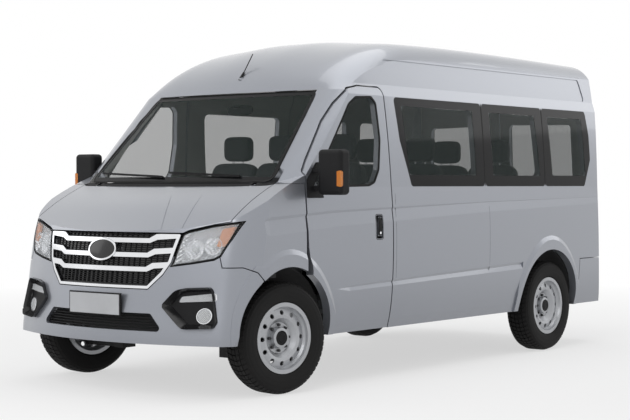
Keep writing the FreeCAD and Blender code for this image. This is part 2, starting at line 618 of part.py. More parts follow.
tank = box(150, 450, 1180, 2060, 290, RAIL_TOP - SEAT_GAP)
tank = tank.makeFillet(25, [edge for edge in tank.Edges if edge.BoundBox.ZMax < RAIL_LOW])
keep("fuel_tank", tank)

# Exhaust: pipe, silencer and tail pipe, which climbs over the axle, ends below the bumper and hangs on straps
PIPE = 24.0
PIPE_WAY = [(280, 330), (2880, 330), (3060, 452), (3330, 452), (3640, 330), (3900, 302), (4095, 302)]
PIPE_X = -300.0
exhaust = Part.makeCylinder(78, 620, Vector(PIPE_X, 1500, 318), Vector(0, 1, 0))
for (y0, z0), (y1, z1) in zip(PIPE_WAY, PIPE_WAY[1:]):
    start, way = Vector(PIPE_X, y0, z0), Vector(0, y1 - y0, z1 - z0)
    exhaust = exhaust.fuse([Part.makeCylinder(PIPE, way.Length, start, way), Part.makeSphere(PIPE, start)])
for y in (930, 2330, 4000):
    exhaust = exhaust.fuse(box(PIPE_X - 10, PIPE_X + 10, y - 8, y + 8, 315, RAIL_LOW - SEAT_GAP))
keep("exhaust", exhaust)

subframe = box(-560, 560, -230, 230, 330, RAIL_LOW)
subframe = subframe.cut(box(-440, 440, -150, 120, 320, 400))
ARM_LOW = 200.0
KNUCKLE_LOW = 225.0
for side in (-1, 1):
    arm = box(440, 840, -28, 28, ARM_LOW, KNUCKLE_LOW - SEAT_GAP).fuse(box(440, 520, -60, 60, ARM_LOW, 331))
    subframe = subframe.fuse(arm if side > 0 else mirrored(arm))
RACK_Y, RACK_Z, RACK, RACK_HALF = 148.0, 273.0, 13.0, 722.0
tube = Part.makeCylinder(RACK + 10, 560, Vector(-280, RACK_Y, RACK_Z), Vector(1, 0, 0))
subframe = subframe.fuse([tube, box(-280, 280, RACK_Y - 12, RACK_Y + 12, RACK_Z, 331)])
rack_room = Part.makeCylinder(RACK + SEAT_GAP, 600, Vector(-300, RACK_Y, RACK_Z), Vector(1, 0, 0))
subframe = subframe.cut(rack_room)
keep("front_subframe", subframe)

AXLE_Z = size("tyre_radius")
SPINDLE = size("bore_radius") - size("bore_clearance")
beam = Part.makeCylinder(42, 1520, Vector(-760, WHEELBASE, AXLE_Z), Vector(1, 0, 0))
beam = beam.fuse([Part.makeCylinder(SPINDLE, 1774, Vector(-887, WHEELBASE, AXLE_Z), Vector(1, 0, 0)),
                  Part.makeCylinder(118, 150, Vector(0, WHEELBASE - 75, AXLE_Z), Vector(0, 1, 0))])
DRUM_IN, DRUM_OUT = 735.0, 775.0
drums = [Part.makeCylinder(120, DRUM_OUT - DRUM_IN, Vector(x, WHEELBASE, AXLE_Z), Vector(1, 0, 0))
         for x in (DRUM_IN, -DRUM_OUT)]
springs = []
for x in (480, -540):
    springs += [box(x, x + 60, 2740, 3660, 396, RAIL_LOW), box(x - 10, x + 70, 3140, 3260, 330, 398)]
keep("rear_axle", beam.fuse(drums + springs))

# Steered knuckles, turned with their wheels to where the photograph shows them

KINGPIN = size("kingpin_half")
STEER = size("rest_steer")
PLATE_IN, PLATE_OUT = -80.0, -53.0
plate = box(PLATE_IN, PLATE_OUT, -35, 35, KNUCKLE_LOW, STRUT_TOP)
hub = Part.makeCylinder(66, 60, Vector(PLATE_IN, 0, AXLE_Z), Vector(1, 0, 0))
spindle = Part.makeCylinder(SPINDLE, 150, Vector(PLATE_IN + 2, 0, AXLE_Z), Vector(1, 0, 0))
ARM_END = size("arm_reach")
arms = [box(PLATE_IN, 25, -30, 30, KNUCKLE_LOW, KNUCKLE_LOW + 25),
        box(PLATE_IN, 25, -28, 28, STRUT_TOP - 26, STRUT_TOP),
        box(PLATE_IN, PLATE_OUT, 0, ARM_END + 16, 291, 311),
        box(PLATE_IN - 28, PLATE_OUT, ARM_END - 16, ARM_END + 16, 291, 311)]
knuckle = plate.fuse([hub, spindle] + arms)


def steered(label, shape, side):
    piece = doc.addObject("Part::Feature", label)
    piece.Label = label
    piece.Shape = shape if side > 0 else mirrored(shape)
    piece.Placement = Placement(SHIFT + Vector(side * KINGPIN, 0, 0), Rotation(Vector(0, 0, 1), STEER))
    made.append(piece)


steered("knuckle_left", knuckle, 1)
steered("knuckle_right", knuckle, -1)

rack = Part.makeCylinder(RACK, 2 * RACK_HALF, Vector(-RACK_HALF, 0, 0), Vector(1, 0, 0))
rack_piece = doc.addObject("Part::Feature", "steering_rack")
rack_piece.Label = "steering_rack"
rack_piece.Shape = rack
rack_shift = -size("arm_reach") * math.radians(STEER)
rack_piece.Placement = Placement(SHIFT + Vector(rack_shift, RACK_Y, RACK_Z), Rotation())
made.append(rack_piece)


# Wheels: revolved about their own axle

def plane(body, role):
    return [item for item in body.Origin.OriginFeatures if item.Role == role][0]


def bind(sketch, kind, place, expression, name):
    index = sketch.addConstraint(Sketcher.Constraint(kind, -1, 1, place[0], place[1], value(expression)))
    sketch.renameConstraint(index, name)
    words = expression.replace("$", "sizes.")
    sketch.setExpression("Constraints." + name, words)


def profile(body, role, points, name):
    """A closed outline whose every corner is bound to expressions on the sheet."""
    sketch = body.newObject("Sketcher::SketchObject", name)
    sketch.AttachmentSupport = (plane(body, role), "")
    sketch.MapMode = "FlatFace"
    spots = [Vector(value(a), value(b), 0) for a, b in points]
    count = len(spots)
    for number, spot in enumerate(spots):
        sketch.addGeometry(Part.LineSegment(spot, spots[(number + 1) % count]))
    for number in range(count):
        sketch.addConstraint(Sketcher.Constraint("Coincident", number, 2, (number + 1) % count, 1))
    for number, (across, up) in enumerate(points):
        bind(sketch, "DistanceX", (number, 1), across, "a%d" % number)
        bind(sketch, "DistanceY", (number, 1), up, "b%d" % number)
    return sketch


def revolved(label, points):
    body = doc.addObject("PartDesign::Body", label)
    body.Label = label
    sketch = profile(body, "XZ_Plane", points, label + "_section")
    turn = body.newObject("PartDesign::Revolution", label + "_turn")
    turn.Profile = sketch
    turn.ReferenceAxis = (sketch, ["H_Axis"])
    turn.Angle = 360
    return body, turn


TYRE = [("-$rim_width/2+7.3", "$bead_radius"), ("$rim_width/2-7.3", "$bead_radius"),
        ("$rim_width/2-7.3", "$flange_radius+1"), ("$tyre_width*0.46", "$flange_radius+9"),
        ("$tyre_width*0.5", "$bead_radius+66"),
        ("$tyre_width*0.49", "$tyre_radius-42"), ("$tyre_width*0.44", "$tyre_radius-14"),
        ("$tyre_width*0.36", "$tyre_radius-3"), ("$tyre_width*0.24", "$tyre_radius"),
        ("-$tyre_width*0.24", "$tyre_radius"), ("-$tyre_width*0.36", "$tyre_radius-3"),
        ("-$tyre_width*0.44", "$tyre_radius-14"), ("-$tyre_width*0.49", "$tyre_radius-42"),
        ("-$tyre_width*0.5", "$bead_radius+66"), ("-$tyre_width*0.46", "$flange_radius+9"),
        ("-$rim_width/2+7.3", "$flange_radius+1")]
EDGE = "$rim_width/2"
RIM = [("-" + EDGE, "$flange_radius"), ("-" + EDGE + "+7", "$flange_radius"),
       ("-" + EDGE + "+7", "$bead_radius-0.3"), ("-30", "$bead_radius-4"), ("-22", "$bead_radius-20"),
       ("22", "$bead_radius-20"), ("40", "$bead_radius-4"), (EDGE + "-7", "$bead_radius-0.3"),
       (EDGE + "-7", "$flange_radius"), (EDGE, "$flange_radius"), (EDGE, "$bead_radius-10"),
       (EDGE + "-16", "$bead_radius-16"), ("52", "$vent_ring+22"), ("62", "$vent_ring-14"),
       ("56", "$vent_ring-34"), ("26", "$hub_radius+34"), ("22", "$hub_radius+6"), ("54", "$hub_radius"),
       ("58", "$hub_radius-14"), ("58", "0"), ("24", "0"), ("24", "$bore_radius"), ("-22", "$bore_radius"),
       ("-22", "$hub_radius"), ("12", "$hub_radius+12"), ("16", "$hub_radius+38"), ("46", "$vent_ring-36"),
       ("52", "$vent_ring-16"), ("42", "$vent_ring+20"), ("30", "$bead_radius-28"),
       ("-26", "$bead_radius-28"), ("-38", "$bead_radius-13"), ("-" + EDGE, "$bead_radius-10")]


def vents(body, turn, label):
    sketch = body.newObject("Sketcher::SketchObject", label + "_vent")
    sketch.AttachmentSupport = (plane(body, "YZ_Plane"), "")
    sketch.MapMode = "FlatFace"
    sketch.addGeometry(Part.Circle(Vector(value("$vent_ring"), 0, 0), Vector(0, 0, 1), value("$vent_radius")))
    sketch.addConstraint(Sketcher.Constraint("PointOnObject", 0, 3, -1))
    bind(sketch, "DistanceX", (0, 3), "$vent_ring", "ring")
    radius = sketch.addConstraint(Sketcher.Constraint("Radius", 0, value("$vent_radius")))
    sketch.renameConstraint(radius, "hole")
    sketch.setExpression("Constraints.hole", "sizes.vent_radius")
    pocket = body.newObject("PartDesign::Pocket", label + "_vents")
    pocket.Profile = sketch
    pocket.Type = 1
    pocket.Midplane = True
    doc.recompute()
    ring = body.newObject("PartDesign::PolarPattern", label + "_ring")
    ring.Originals = [pocket]
    ring.Axis = (sketch, ["N_Axis"])
    ring.Angle = 360
    ring.Occurrences = int(value("$vent_count"))
    body.Tip = ring


WHEELS = (("front_left", 1, True), ("front_right", -1, True),
          ("rear_left", 1, False), ("rear_right", -1, False))
for corner, side, turned in WHEELS:
    offset = size("track") / 2 * side
    turn = Rotation(Vector(0, 0, 1), 0 if side > 0 else 180)
    if turned:
        swing = Rotation(Vector(0, 0, 1), STEER)
        spot = Vector(side * KINGPIN, 0, 0) + swing.multVec(Vector(offset - side * KINGPIN, 0, 0))
        turn = swing.multiply(turn)
    else:
        spot = Vector(offset, WHEELBASE, 0)
    place = Placement(SHIFT + spot + Vector(0, 0, AXLE_Z), turn)
    for kind, outline in (("tyre", TYRE), ("rim", RIM)):
        label = "%s_%s" % (kind, corner)
        body, feature = revolved(label, outline)
        doc.recompute()
        if kind == "rim":
            vents(body, feature, label)
        body.Placement = place
        made.append(body)
doc.recompute()


# Cabin: dashboard, seats and steering wheel

DASH = [(BULK_REAR, 900), (BULK_REAR, 1255), (150, 1262), (330, 1225), (400, 1120), (392, 960), (280, 860),
        (150, 700), (BULK_REAR, 700)]
dash_face = face_of([(-832, y, z) for y, z in DASH], 0)
dash = dash_face.extrude(Vector(1664, 0, 0)).common(inside).cut(arch_room[:2])
DRIVER = 400.0
COLUMN_FOOT, COLUMN_TOP = Vector(DRIVER, 330, 1010), Vector(DRIVER, 520, 1150)
column_way = COLUMN_TOP - COLUMN_FOOT
column_way.normalize()
sleeve = Part.makeCylinder(38, 120, COLUMN_FOOT, column_way)
shaft_room = Part.makeCylinder(14.5, 150, COLUMN_FOOT - column_way * 10, column_way)
dash = dash.fuse(sleeve).cut(shaft_room)
keep("dashboard", dash)

ring = Part.makeTorus(size("steering_radius"), 15)
boss = Part.makeCylinder(58, 34, Vector(0, 0, -30))
SPOKE = size("steering_radius") - 4
spokes = [Part.makeBox(2 * SPOKE, 34, 14, Vector(-SPOKE, -17, -12)),
          Part.makeBox(34, SPOKE, 14, Vector(-17, -SPOKE, -12))]
shaft = Part.makeCylinder(14, 110, Vector(0, 0, -130))
wheel = ring.fuse([boss, shaft] + spokes)
steering = doc.addObject("Part::Feature", "steering_wheel")
steering.Label = "steering_wheel"
steering.Shape = wheel
WHEEL_HUB = COLUMN_FOOT + column_way * 155
steering.Placement = Placement(SHIFT + WHEEL_HUB, Rotation(Vector(0, 0, 1), column_way))
made.append(steering)

FLOOR = size("floor_top")
CUSHION = size("cushion_height")


def seat(x, y, width, count):
    """A pedestal, cushion, leaning back and one headrest for each of count places, side by side."""
    lean = [(y + 440, CUSHION - 60), (y + 560, CUSHION - 60), (y + 660, CUSHION + 560),
            (y + 560, CUSHION + 590)]
    back = face_of([(x - width / 2, a, b) for a, b in lean]).extrude(Vector(width, 0, 0))
    base = box(x - width / 2 + 60, x + width / 2 - 60, y + 60, y + 460, FLOOR, CUSHION - 110)
    cushion = box(x - width / 2, x + width / 2, y, y + 520, CUSHION - 130, CUSHION)
    parts = [cushion, base]
    for number in range(count):
        middle = x - width / 2 + width * (number + 0.5) / count
        rest = box(middle - 130, middle + 130, y + 585, y + 680, CUSHION + 590, CUSHION + 780)
        parts.append(rest)
        parts.append(box(middle - 50, middle + 50, y + 600, y + 645, CUSHION + 540, CUSHION + 600))
    return back.fuse(parts)


keep("front_seats", Part.makeCompound([seat(DRIVER, 620, 500, 1), seat(-DRIVER + 60, 620, 880, 2)]))
keep("rear_seats", Part.makeCompound([seat(-90, 1640, 1400, 3), seat(0, 2560, 1400, 3).cut(arch_room)]))

# Trim: mirrors, door sail, wipers and roof aerial

mirror_head = Part.makeBox(190, 105, 285, Vector(1021, 212, 1234))
mirror_head = mirror_head.makeFillet(28, mirror_head.Edges)
SAIL_OFF = 6.0
mirror_arms = [box(960, 1040, 225, 280, z, z + 26) for z in (1262, 1375)]
SAIL = [(166, 1215), (330, 1215), (300, 1290), (222, 1290), (330, 1440), (270, 1440), (168, 1330)]
beside = outer.common(box(800, FAR, 100, 400, 1180, 1480))
sail = beside.translated(Vector(SAIL_OFF, 0, 0)).cut(beside).common(side_prism(SAIL, 6, 0, 860))
mirror = mirror_head.fuse([arm.cut(beside) for arm in mirror_arms] + sail.Solids)
keep("mirror_left", mirror)
keep("mirror_right", mirrored(mirror))

WIPERS = (((-60, 1372), (560, 1348)), ((-740, 1372), (-100, 1346)))
BLADE = 14.0


def on_screen(x, z, off):
    """Point off in front of the windscreen's face."""
    return Vector(x, (z - 1302) * 0.976 - 52 + screen_shift(x) - off, z)


def blade(start, end):
    """A bar that follows the curved glass from one end to the other."""
    rows = []
    for step in range(9):
        share = step / 8
        x = start[0] + (end[0] - start[0]) * share
        z = start[1] + (end[1] - start[1]) * share
        foot = on_screen(x, z, 0.45)
        section = ((0, 0), (-BLADE, 0), (-BLADE, BLADE), (0, BLADE * 0.6))
        corners = [foot + Vector(0, a, b) for a, b in section]
        rows.append(Part.makePolygon(corners + corners[:1]))
    return Part.makeLoft(rows, True, True)


keep("wipers", Part.makeCompound([blade(*way).cut(outer) for way in WIPERS]))

for piece in made:
    shape = piece.Shape
    if shape.isNull() or not shape.isValid() or {"Invalid", "Error"} & set(piece.State) or not shape.Solids:
        raise RuntimeError("%s failed" % piece.Label)
for piece in made:
    piece.Shape.exportStep("parts/%s.step" % piece.Label)
    print(piece.Label, len(piece.Shape.Solids), round(piece.Shape.Volume / 1e6, 2))
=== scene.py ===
# Looks of the minibus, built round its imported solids: paint, glass, lamps, wheels, cabin and trim.
# Lengths in the outlines are millimetres from the front axle, and at() turns them into the frame's metres.
import math

import bmesh
import bpy
from bpy.props import FloatProperty, FloatVectorProperty, PointerProperty
from mathutils import Matrix, Vector
from mathutils.bvhtree import BVHTree


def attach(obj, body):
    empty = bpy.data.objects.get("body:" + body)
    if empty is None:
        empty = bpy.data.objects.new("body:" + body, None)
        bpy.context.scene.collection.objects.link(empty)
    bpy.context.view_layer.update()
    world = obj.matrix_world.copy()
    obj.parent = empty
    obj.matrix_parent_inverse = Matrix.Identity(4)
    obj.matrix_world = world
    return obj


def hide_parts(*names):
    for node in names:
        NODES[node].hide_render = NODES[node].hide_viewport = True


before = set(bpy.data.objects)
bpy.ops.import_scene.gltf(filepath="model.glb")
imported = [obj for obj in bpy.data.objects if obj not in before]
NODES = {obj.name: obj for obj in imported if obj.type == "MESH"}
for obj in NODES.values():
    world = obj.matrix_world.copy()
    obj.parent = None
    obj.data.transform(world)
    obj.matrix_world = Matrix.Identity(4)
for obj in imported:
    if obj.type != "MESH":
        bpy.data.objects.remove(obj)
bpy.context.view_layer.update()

bl_info = {
    "name": "Minibus looks",
    "version": (1, 0, 0),
    "blender": (4, 5, 0),
    "location": "View3D > Sidebar > Minibus",
    "description": "Paint, glass, lamps, wheels, cabin and trim of a panel-sided minibus",
    "category": "Object",
}

MM = 0.001
MIDDLE = 1687.5
SIDES = ((1, "left"), (-1, "right"))


def at(x, y, z):
    """Point given in millimetres from the front axle, in the frame's metres."""
    return Vector((x * MM, (y - MIDDLE) * MM, z * MM))


# Shader nodes

class Value:
    """A socket that Python's operators add Math nodes to."""

    def __init__(self, shade, socket):
        self.shade = shade
        self.socket = socket

    def math(self, operation, *others):
        return self.shade.add("ShaderNodeMath", {"operation": operation}, self, *others)

    def __add__(self, other):
        return self.math("ADD", other)

    __radd__ = __add__

    def __sub__(self, other):
        return self.math("SUBTRACT", other)

    def __rsub__(self, other):
        return self.shade.add("ShaderNodeMath", {"operation": "SUBTRACT"}, other, self)

    def __mul__(self, other):
        return self.math("MULTIPLY", other)

    __rmul__ = __mul__

    def lower(self, other):
        return self.math("MINIMUM", other)

    def upper(self, other):
        return self.math("MAXIMUM", other)

    def step(self, low, high):
        """0 below low, 1 above high, smooth between."""
        settings = {"interpolation_type": "SMOOTHSTEP"}
        return self.shade.add("ShaderNodeMapRange", settings, self, low, high, 0.0, 1.0)


class Shade:
    """A material's node tree, read on the object's own coordinates."""

    def __init__(self, name, **sockets):
        self.material = bpy.data.materials.new(name)
        self.material.use_nodes = True
        self.tree = self.material.node_tree
        self.tree.nodes.clear()
        output = self.tree.nodes.new("ShaderNodeOutputMaterial")
        self.bsdf = self.tree.nodes.new("ShaderNodeBsdfPrincipled")
        self.tree.links.new(self.bsdf.outputs[0], output.inputs[0])
        for key, number in sockets.items():
            self.set(key.replace("_", " ").title().replace("Ior", "IOR"), number)

    def set(self, name, value):
        self.fill(self.bsdf.inputs[name], value)

    def fill(self, socket, value):
        if isinstance(value, Value):
            self.tree.links.new(value.socket, socket)
        elif hasattr(value, "__len__") and len(value) == 3 and len(getattr(socket, "default_value", ())) == 4:
            socket.default_value = (*value, 1.0)
        else:
            socket.default_value = value

    def add(self, kind, settings, *values, output=0, **named):
        """A node of one kind: settings first, then values or links for its sockets, in order or by name."""
        node = self.tree.nodes.new(kind)
        for key, setting in settings.items():
            setattr(node, key, setting)
        for socket, value in zip(node.inputs, values):
            self.fill(socket, value)
        for key, value in named.items():
            self.fill(node.inputs[key], value)
        return Value(self, node.outputs[output])

    def place(self):
        """x, y and z of the point in metres."""
        where = self.add("ShaderNodeTexCoord", {}, output=3)
        split = self.add("ShaderNodeSeparateXYZ", {}, where)
        outputs = split.socket.node.outputs
        return where, [Value(self, outputs[index]) for index in range(3)]

    def noise(self, where, scale, detail=2.0, roughness=0.5):
        return self.add("ShaderNodeTexNoise", {"noise_dimensions": "3D"}, Vector=where, Scale=scale,
                        Detail=detail, Roughness=roughness)

    def mix(self, mask, first, second):
        node = self.tree.nodes.new("ShaderNodeMix")
        node.data_type = "RGBA"
        self.fill(node.inputs["Factor"], mask)
        self.fill(node.inputs[6], first)
        self.fill(node.inputs[7], second)
        return Value(self, node.outputs[2])

    def bump(self, height, distance):
        normal = self.add("ShaderNodeBump", {}, Strength=1.0, Distance=distance, Height=height)
        self.set("Normal", normal)


def inside(across, up, outline, soft=0.002):
    """1 inside a convex outline of (across, up) in metres, 0 outside, by its nearest edge."""
    middle = Vector((sum(p[0] for p in outline), sum(p[1] for p in outline))) / len(outline)
    nearest = None
    for a, b in zip(outline, outline[1:] + outline[:1]):
        edge = Vector((b[0] - a[0], b[1] - a[1])).normalized()
        normal = Vector((-edge.y, edge.x))
        if normal.dot(middle - Vector(a)) < 0:
            normal = -normal
        reach = across * normal.x + up * normal.y - normal.dot(Vector(a))
        nearest = reach if nearest is None else nearest.lower(reach)
    return nearest.step(-soft, soft)


def metres(points, along=True):
    """An outline in the frame's metres: (along, up) seen from the side, (across, up) seen from in front."""
    return [((u - MIDDLE) * MM if along else u * MM, v * MM) for u, v in points]


SCREEN_HOLE = [(-790, 1350), (790, 1350), (705, 1888), (-705, 1888)]
PANE_HOLES = [
    [(1236, 1835), (1290, 1366), (2130, 1366), (2122, 1835)],
    [(2350, 1830), (2364, 1366), (3040, 1366), (3001, 1830)],
    [(3199, 1830), (3232, 1368), (3765, 1370), (3745, 1826)],
]


def plain(name, colour, roughness, grain=0.0, scale=900.0, metallic=0.0, **extra):
    """A moulded or coated finish: slight colour drift, and a grain where one is given."""
    shade = Shade(name, roughness=roughness, metallic=metallic, **extra)
    where, _ = shade.place()
    drift = shade.noise(where, 6.0, 3.0)
    light = [min(1.0, c * 1.12) for c in colour]
    shade.set("Base Color", shade.mix(drift, [c * 0.86 for c in colour], light))
    shade.set("Roughness", drift * 0.12 + (roughness - 0.06))
    if grain:
        shade.bump(shade.noise(where, scale, 2.0), grain)
    return shade.material


def make_paint(colour):
    """Metallic silver under clear lacquer: fine flakes, and painted shade low on the body for the dark ground
    it reflects, where the lacquer is also rougher.
    """
    shade = Shade("silver paint", metallic=0.62, roughness=0.34, coat_weight=0.7, coat_roughness=0.06)
    where, (x, y, z) = shade.place()
    flakes = shade.noise(where, 2600.0, 1.0)
    cloud = shade.noise(where, 1.4, 3.0)
    tone = shade.mix(flakes, [c * 0.86 for c in colour], [min(1.0, c * 1.10) for c in colour])
    # Painted shade: darker towards the bottom in blotches, standing in for the dark ground that the lower body
    # reflects; the same mask roughens the lacquer
    low_shade = (1 - z.step(0.30, 0.75)) * cloud * 0.35
    shade.set("Base Color", shade.mix(low_shade, tone, [c * 0.62 for c in colour]))
    shade.set("Roughness", low_shade * 0.5 + flakes * 0.06 + 0.29)
    return shade.material


def make_glass(name, colour, alpha, outlines=(), along=True):
    """Tinted pane, with a printed black border outside the clear outlines."""
    shade = Shade(name, roughness=0.03, ior=1.5, specular_ior_level=0.12)
    _, (x, y, z) = shade.place()
    if not outlines:
        shade.set("Base Color", colour)
        shade.set("Alpha", alpha)
        return shade.material
    across = y if along else x
    clear = None
    for outline in outlines:
        mask = inside(across, z, metres(outline, along))
        clear = mask if clear is None else clear.upper(mask)
    shade.set("Base Color", shade.mix(clear, (0.012, 0.012, 0.013), colour))
    shade.set("Alpha", 1 - clear * (1 - alpha))
    shade.set("Roughness", 0.10 - clear * 0.07)
    return shade.material


def make_rubber():
    """Black rubber with dust in it."""
    shade = Shade("tyre rubber", roughness=0.78, specular_ior_level=0.2)
    where, _ = shade.place()
    dust = shade.noise(where, 9.0, 4.0)
    shade.set("Base Color", shade.mix(dust, (0.007, 0.007, 0.0075), (0.020, 0.0195, 0.019)))
    shade.set("Roughness", dust * 0.2 + 0.66)
    shade.bump(shade.noise(where, 700.0, 2.0), 0.0003)
    return shade.material


def make_fabric():
    """Dark woven upholstery with a fine two-way weave."""
    shade = Shade("seat cloth", roughness=0.85, sheen_weight=0.25)
    where, (x, y, z) = shade.place()
    threads = ((y + z) * 2600.0).math("SINE") * (x * 2600.0).math("SINE")
    cloud = shade.noise(where, 40.0, 3.0)
    tone = cloud * 0.5 + threads * 0.15 + 0.3
    shade.set("Base Color", shade.mix(tone, (0.030, 0.032, 0.036), (0.085, 0.088, 0.096)))
    shade.bump(threads, 0.0004)
    return shade.material


def make_lamp_glass(name, colour, alpha):
    """Clear or tinted plastic without a pattern."""
    shade = Shade(name, roughness=0.05, ior=1.49)
    shade.set("Base Color", colour)
    shade.set("Alpha", alpha)
    return shade.material


def make_ribbed(name, colour, pitch, **extra):
    """A moulded lens or reflector with upright flutes."""
    shade = Shade(name, base_color=colour, roughness=0.12, **extra)
    _, (x, y, z) = shade.place()
    flutes = (x * (math.tau / pitch)).math("SINE") * (z * (math.tau / pitch)).math("SINE")
    shade.bump(flutes, pitch * 0.25)
    return shade.material


# Places on the body

NUDGE = 0.009  # how far beside a ray the surface is read too
STEP = 0.012   # a hit this much deeper than its neighbours lies in a seam
BESIDE, AHEAD, REARWARD = 2000, -3000, 6000  # where the rays start


class Skin:
    """The outside of the body, found by rays from in front, behind and beside it."""

    def __init__(self, names):
        points, faces = [], []
        for name in names:
            mesh = NODES[name].data
            start = len(points)
            points += [vertex.co.copy() for vertex in mesh.vertices]
            faces += [[start + index for index in face.vertices] for face in mesh.polygons]
        self.tree = BVHTree.FromPolygons(points, faces)

    def hit(self, start, way, depth):
        """Point at a depth below the outside; a seam or gap is read at the level of what lies beside it."""
        across = way.cross(Vector((0, 0, 1))) * NUDGE
        nudges = (Vector(), across, -across, Vector((0, 0, NUDGE)), Vector((0, 0, -NUDGE)))
        reach = [self.tree.ray_cast(start + nudge, way)[3] for nudge in nudges]
        beside = min((distance for distance in reach[1:] if distance is not None), default=None)
        if beside is None:
            raise RuntimeError("no body at %s" % [round(c, 3) for c in start])
        found = beside if reach[0] is None or reach[0] > beside + STEP else reach[0]
        return start + way * (found + depth * MM)


OUTSIDE = ("bonnet", "fenders", "front", "headlamps", "fog", "grille", "cowl", "roof", "windscreen", "side",
           "sliding", "door", "rear", "tail")
HIDDEN = ("seats", "axle", "subframe", "panel")
SKIN = Skin([name for name in NODES if name.split("_")[0] in OUTSIDE and not name.endswith(HIDDEN)])


def from_side(sign):
    """Places at (along, up, depth behind the skin) on one side of the body."""
    def place(along, up, depth):
        return SKIN.hit(at(sign * BESIDE, along, up), Vector((-sign, 0, 0)), depth)
    return place


def in_front(sign=1):
    """Places at (across, up, depth behind the skin) on the nose, mirrored where sign is -1."""
    def place(across, up, depth):
        return SKIN.hit(at(sign * across, AHEAD, up), Vector((0, 1, 0)), depth)
    return place


def behind(sign=1):
    """Places at (across, up, depth within the skin) on the tail, mirrored where sign is -1."""
    def place(across, up, depth):
        return SKIN.hit(at(sign * across, REARWARD, up), Vector((0, -1, 0)), depth)
    return place


# Outlines and meshes; a piece's finish is given by its name in FINISH

FINISH = {}


def rounded(points, radius, steps=5):
    """A closed outline with its corners rounded."""
    loop = []
    count = len(points)
    for index, point in enumerate(points):
        corner = Vector(point)
        before = Vector(points[index - 1]) - corner
        after = Vector(points[(index + 1) % count]) - corner
        reach = min(radius, before.length * 0.45, after.length * 0.45)
        start, end = corner + before.normalized() * reach, corner + after.normalized() * reach
        for step in range(steps + 1):
            share = step / steps
            loop.append(start * (1 - share) ** 2 + corner * 2 * share * (1 - share) + end * share ** 2)
    return loop


def dense(loop, step, closed=True):
    """The same line with no span longer than step."""
    found = []
    ends = loop[1:] + loop[:1] if closed else loop[1:]
    for a, b in zip(loop, ends):
        a, b = Vector(a), Vector(b)
        spans = max(1, math.ceil((b - a).length / step))
        found += [a + (b - a) * (index / spans) for index in range(spans)]
    if not closed:
        found.append(Vector(loop[-1]))
    return found


def moved(loop, reach):
    """A closed outline moved outwards by reach, point by point."""
    area = sum(a.x * b.y - b.x * a.y for a, b in zip(loop, loop[1:] + loop[:1]))
    turn = 1 if area > 0 else -1
    found = []
    for index, point in enumerate(loop):
        along = loop[(index + 1) % len(loop)] - loop[index - 1]
        normal = Vector((along.y, -along.x)).normalized() * turn
        found.append(point + normal * reach)
    return found


def profile(points, radius, step):
    """A closed outline with rounded corners and no span longer than step."""
    return dense(rounded(points, radius), step)


def rect(low, high, radius, step):
    """The same for a rectangle between two corners."""
    (u0, v0), (u1, v1) = low, high
    return profile([(u0, v0), (u1, v0), (u1, v1), (u0, v1)], radius, step)


def circle(u, v, radius, count=28):
    """A round outline about a point."""
    return [Vector((u + radius * math.cos(math.tau * k / count), v + radius * math.sin(math.tau * k / count)))
            for k in range(count)]


def shrunk(loop, share):
    """An outline drawn in towards its middle, to a share of its size."""
    middle = sum(loop, Vector((0, 0))) / len(loop)
    return [middle + (point - middle) * share for point in loop]


def piece(name, loops, body, finish, ring=False, smooth=True):
    """A closed solid through loops of 3-D points: capped at both ends, or joined back on itself."""
    mesh = bmesh.new()
    rows = [[mesh.verts.new(point) for point in loop] for loop in loops]
    pairs = list(zip(rows, rows[1:]))
    if ring:
        pairs.append((rows[-1], rows[0]))
    for first, second in pairs:
        count = len(first)
        for index in range(count):
            after = (index + 1) % count
            mesh.faces.new((first[index], first[after], second[after], second[index]))
    if not ring:
        mesh.faces.new(rows[0])
        mesh.faces.new(list(reversed(rows[-1])))
    return made(name, mesh, body, finish, smooth)


def made(name, mesh, body, finish, smooth=True, sharp=35.0):
    """A mesh as a finished piece: cleaned, given its finish, and put on its body."""
    bmesh.ops.remove_doubles(mesh, verts=mesh.verts, dist=1e-6)
    bmesh.ops.recalc_face_normals(mesh, faces=mesh.faces)
    data = bpy.data.meshes.new(name)
    mesh.to_mesh(data)
    mesh.free()
    thing = bpy.data.objects.new(name, data)
    bpy.context.scene.collection.objects.link(thing)
    data.materials.append(FINISH[finish])
    if smooth:
        data.shade_smooth()
        data.set_sharp_from_angle(angle=math.radians(sharp))
    if body:
        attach(thing, body)
    return thing


def on_skin(name, loops, place, body, finish, ring=False, smooth=True):
    """A solid whose loops are given as (outline, depth) on the body's surface."""
    return piece(name, [[place(p.x, p.y, depth) for p in loop] for loop, depth in loops],
                 body, finish, ring, smooth)


def band(name, loop, place, body, finish, outside, within, proud, sunk):
    """A frame that runs along a closed outline, from outside it to within it."""
    outer, inner = moved(loop, outside), moved(loop, -within)
    loops = [(outer, sunk), (outer, 0), (moved(loop, outside - 2), -proud), (moved(loop, 2 - within), -proud),
             (inner, 0), (inner, sunk)]
    return on_skin(name, loops, place, body, finish, ring=True)


def patch(name, loop, place, body, finish, proud, sunk, rings=4, dome=0.0):
    """A closed sheet that fills an outline and follows the surface, domed by dome in the middle."""
    shares = [index / rings for index in range(rings, 0, -1)] + [0.02]
    front = [(shrunk(loop, share), -proud - dome * (1 - share ** 2)) for share in shares]
    back = [(shrunk(loop, share), sunk) for share in shares]
    return on_skin(name, front[::-1] + back, place, body, finish)


def stripe(name, line, width, place, body, finish, proud, sunk):
    """A moulding along an open line, with rounded edges."""
    line = dense([Vector(p) for p in line], 40.0, closed=False)
    loops = []
    for index, point in enumerate(line):
        along = (line[min(index + 1, len(line) - 1)] - line[max(index - 1, 0)]).normalized()
        across = Vector((-along.y, along.x)) * (width / 2)
        section = [(across, sunk), (across, -proud * 0.4), (across * 0.6, -proud), (-across * 0.6, -proud),
                   (-across, -proud * 0.4), (-across, sunk)]
        loops.append([place((point + side).x, (point + side).y, depth) for side, depth in section])
    return piece(name, loops, body, finish)


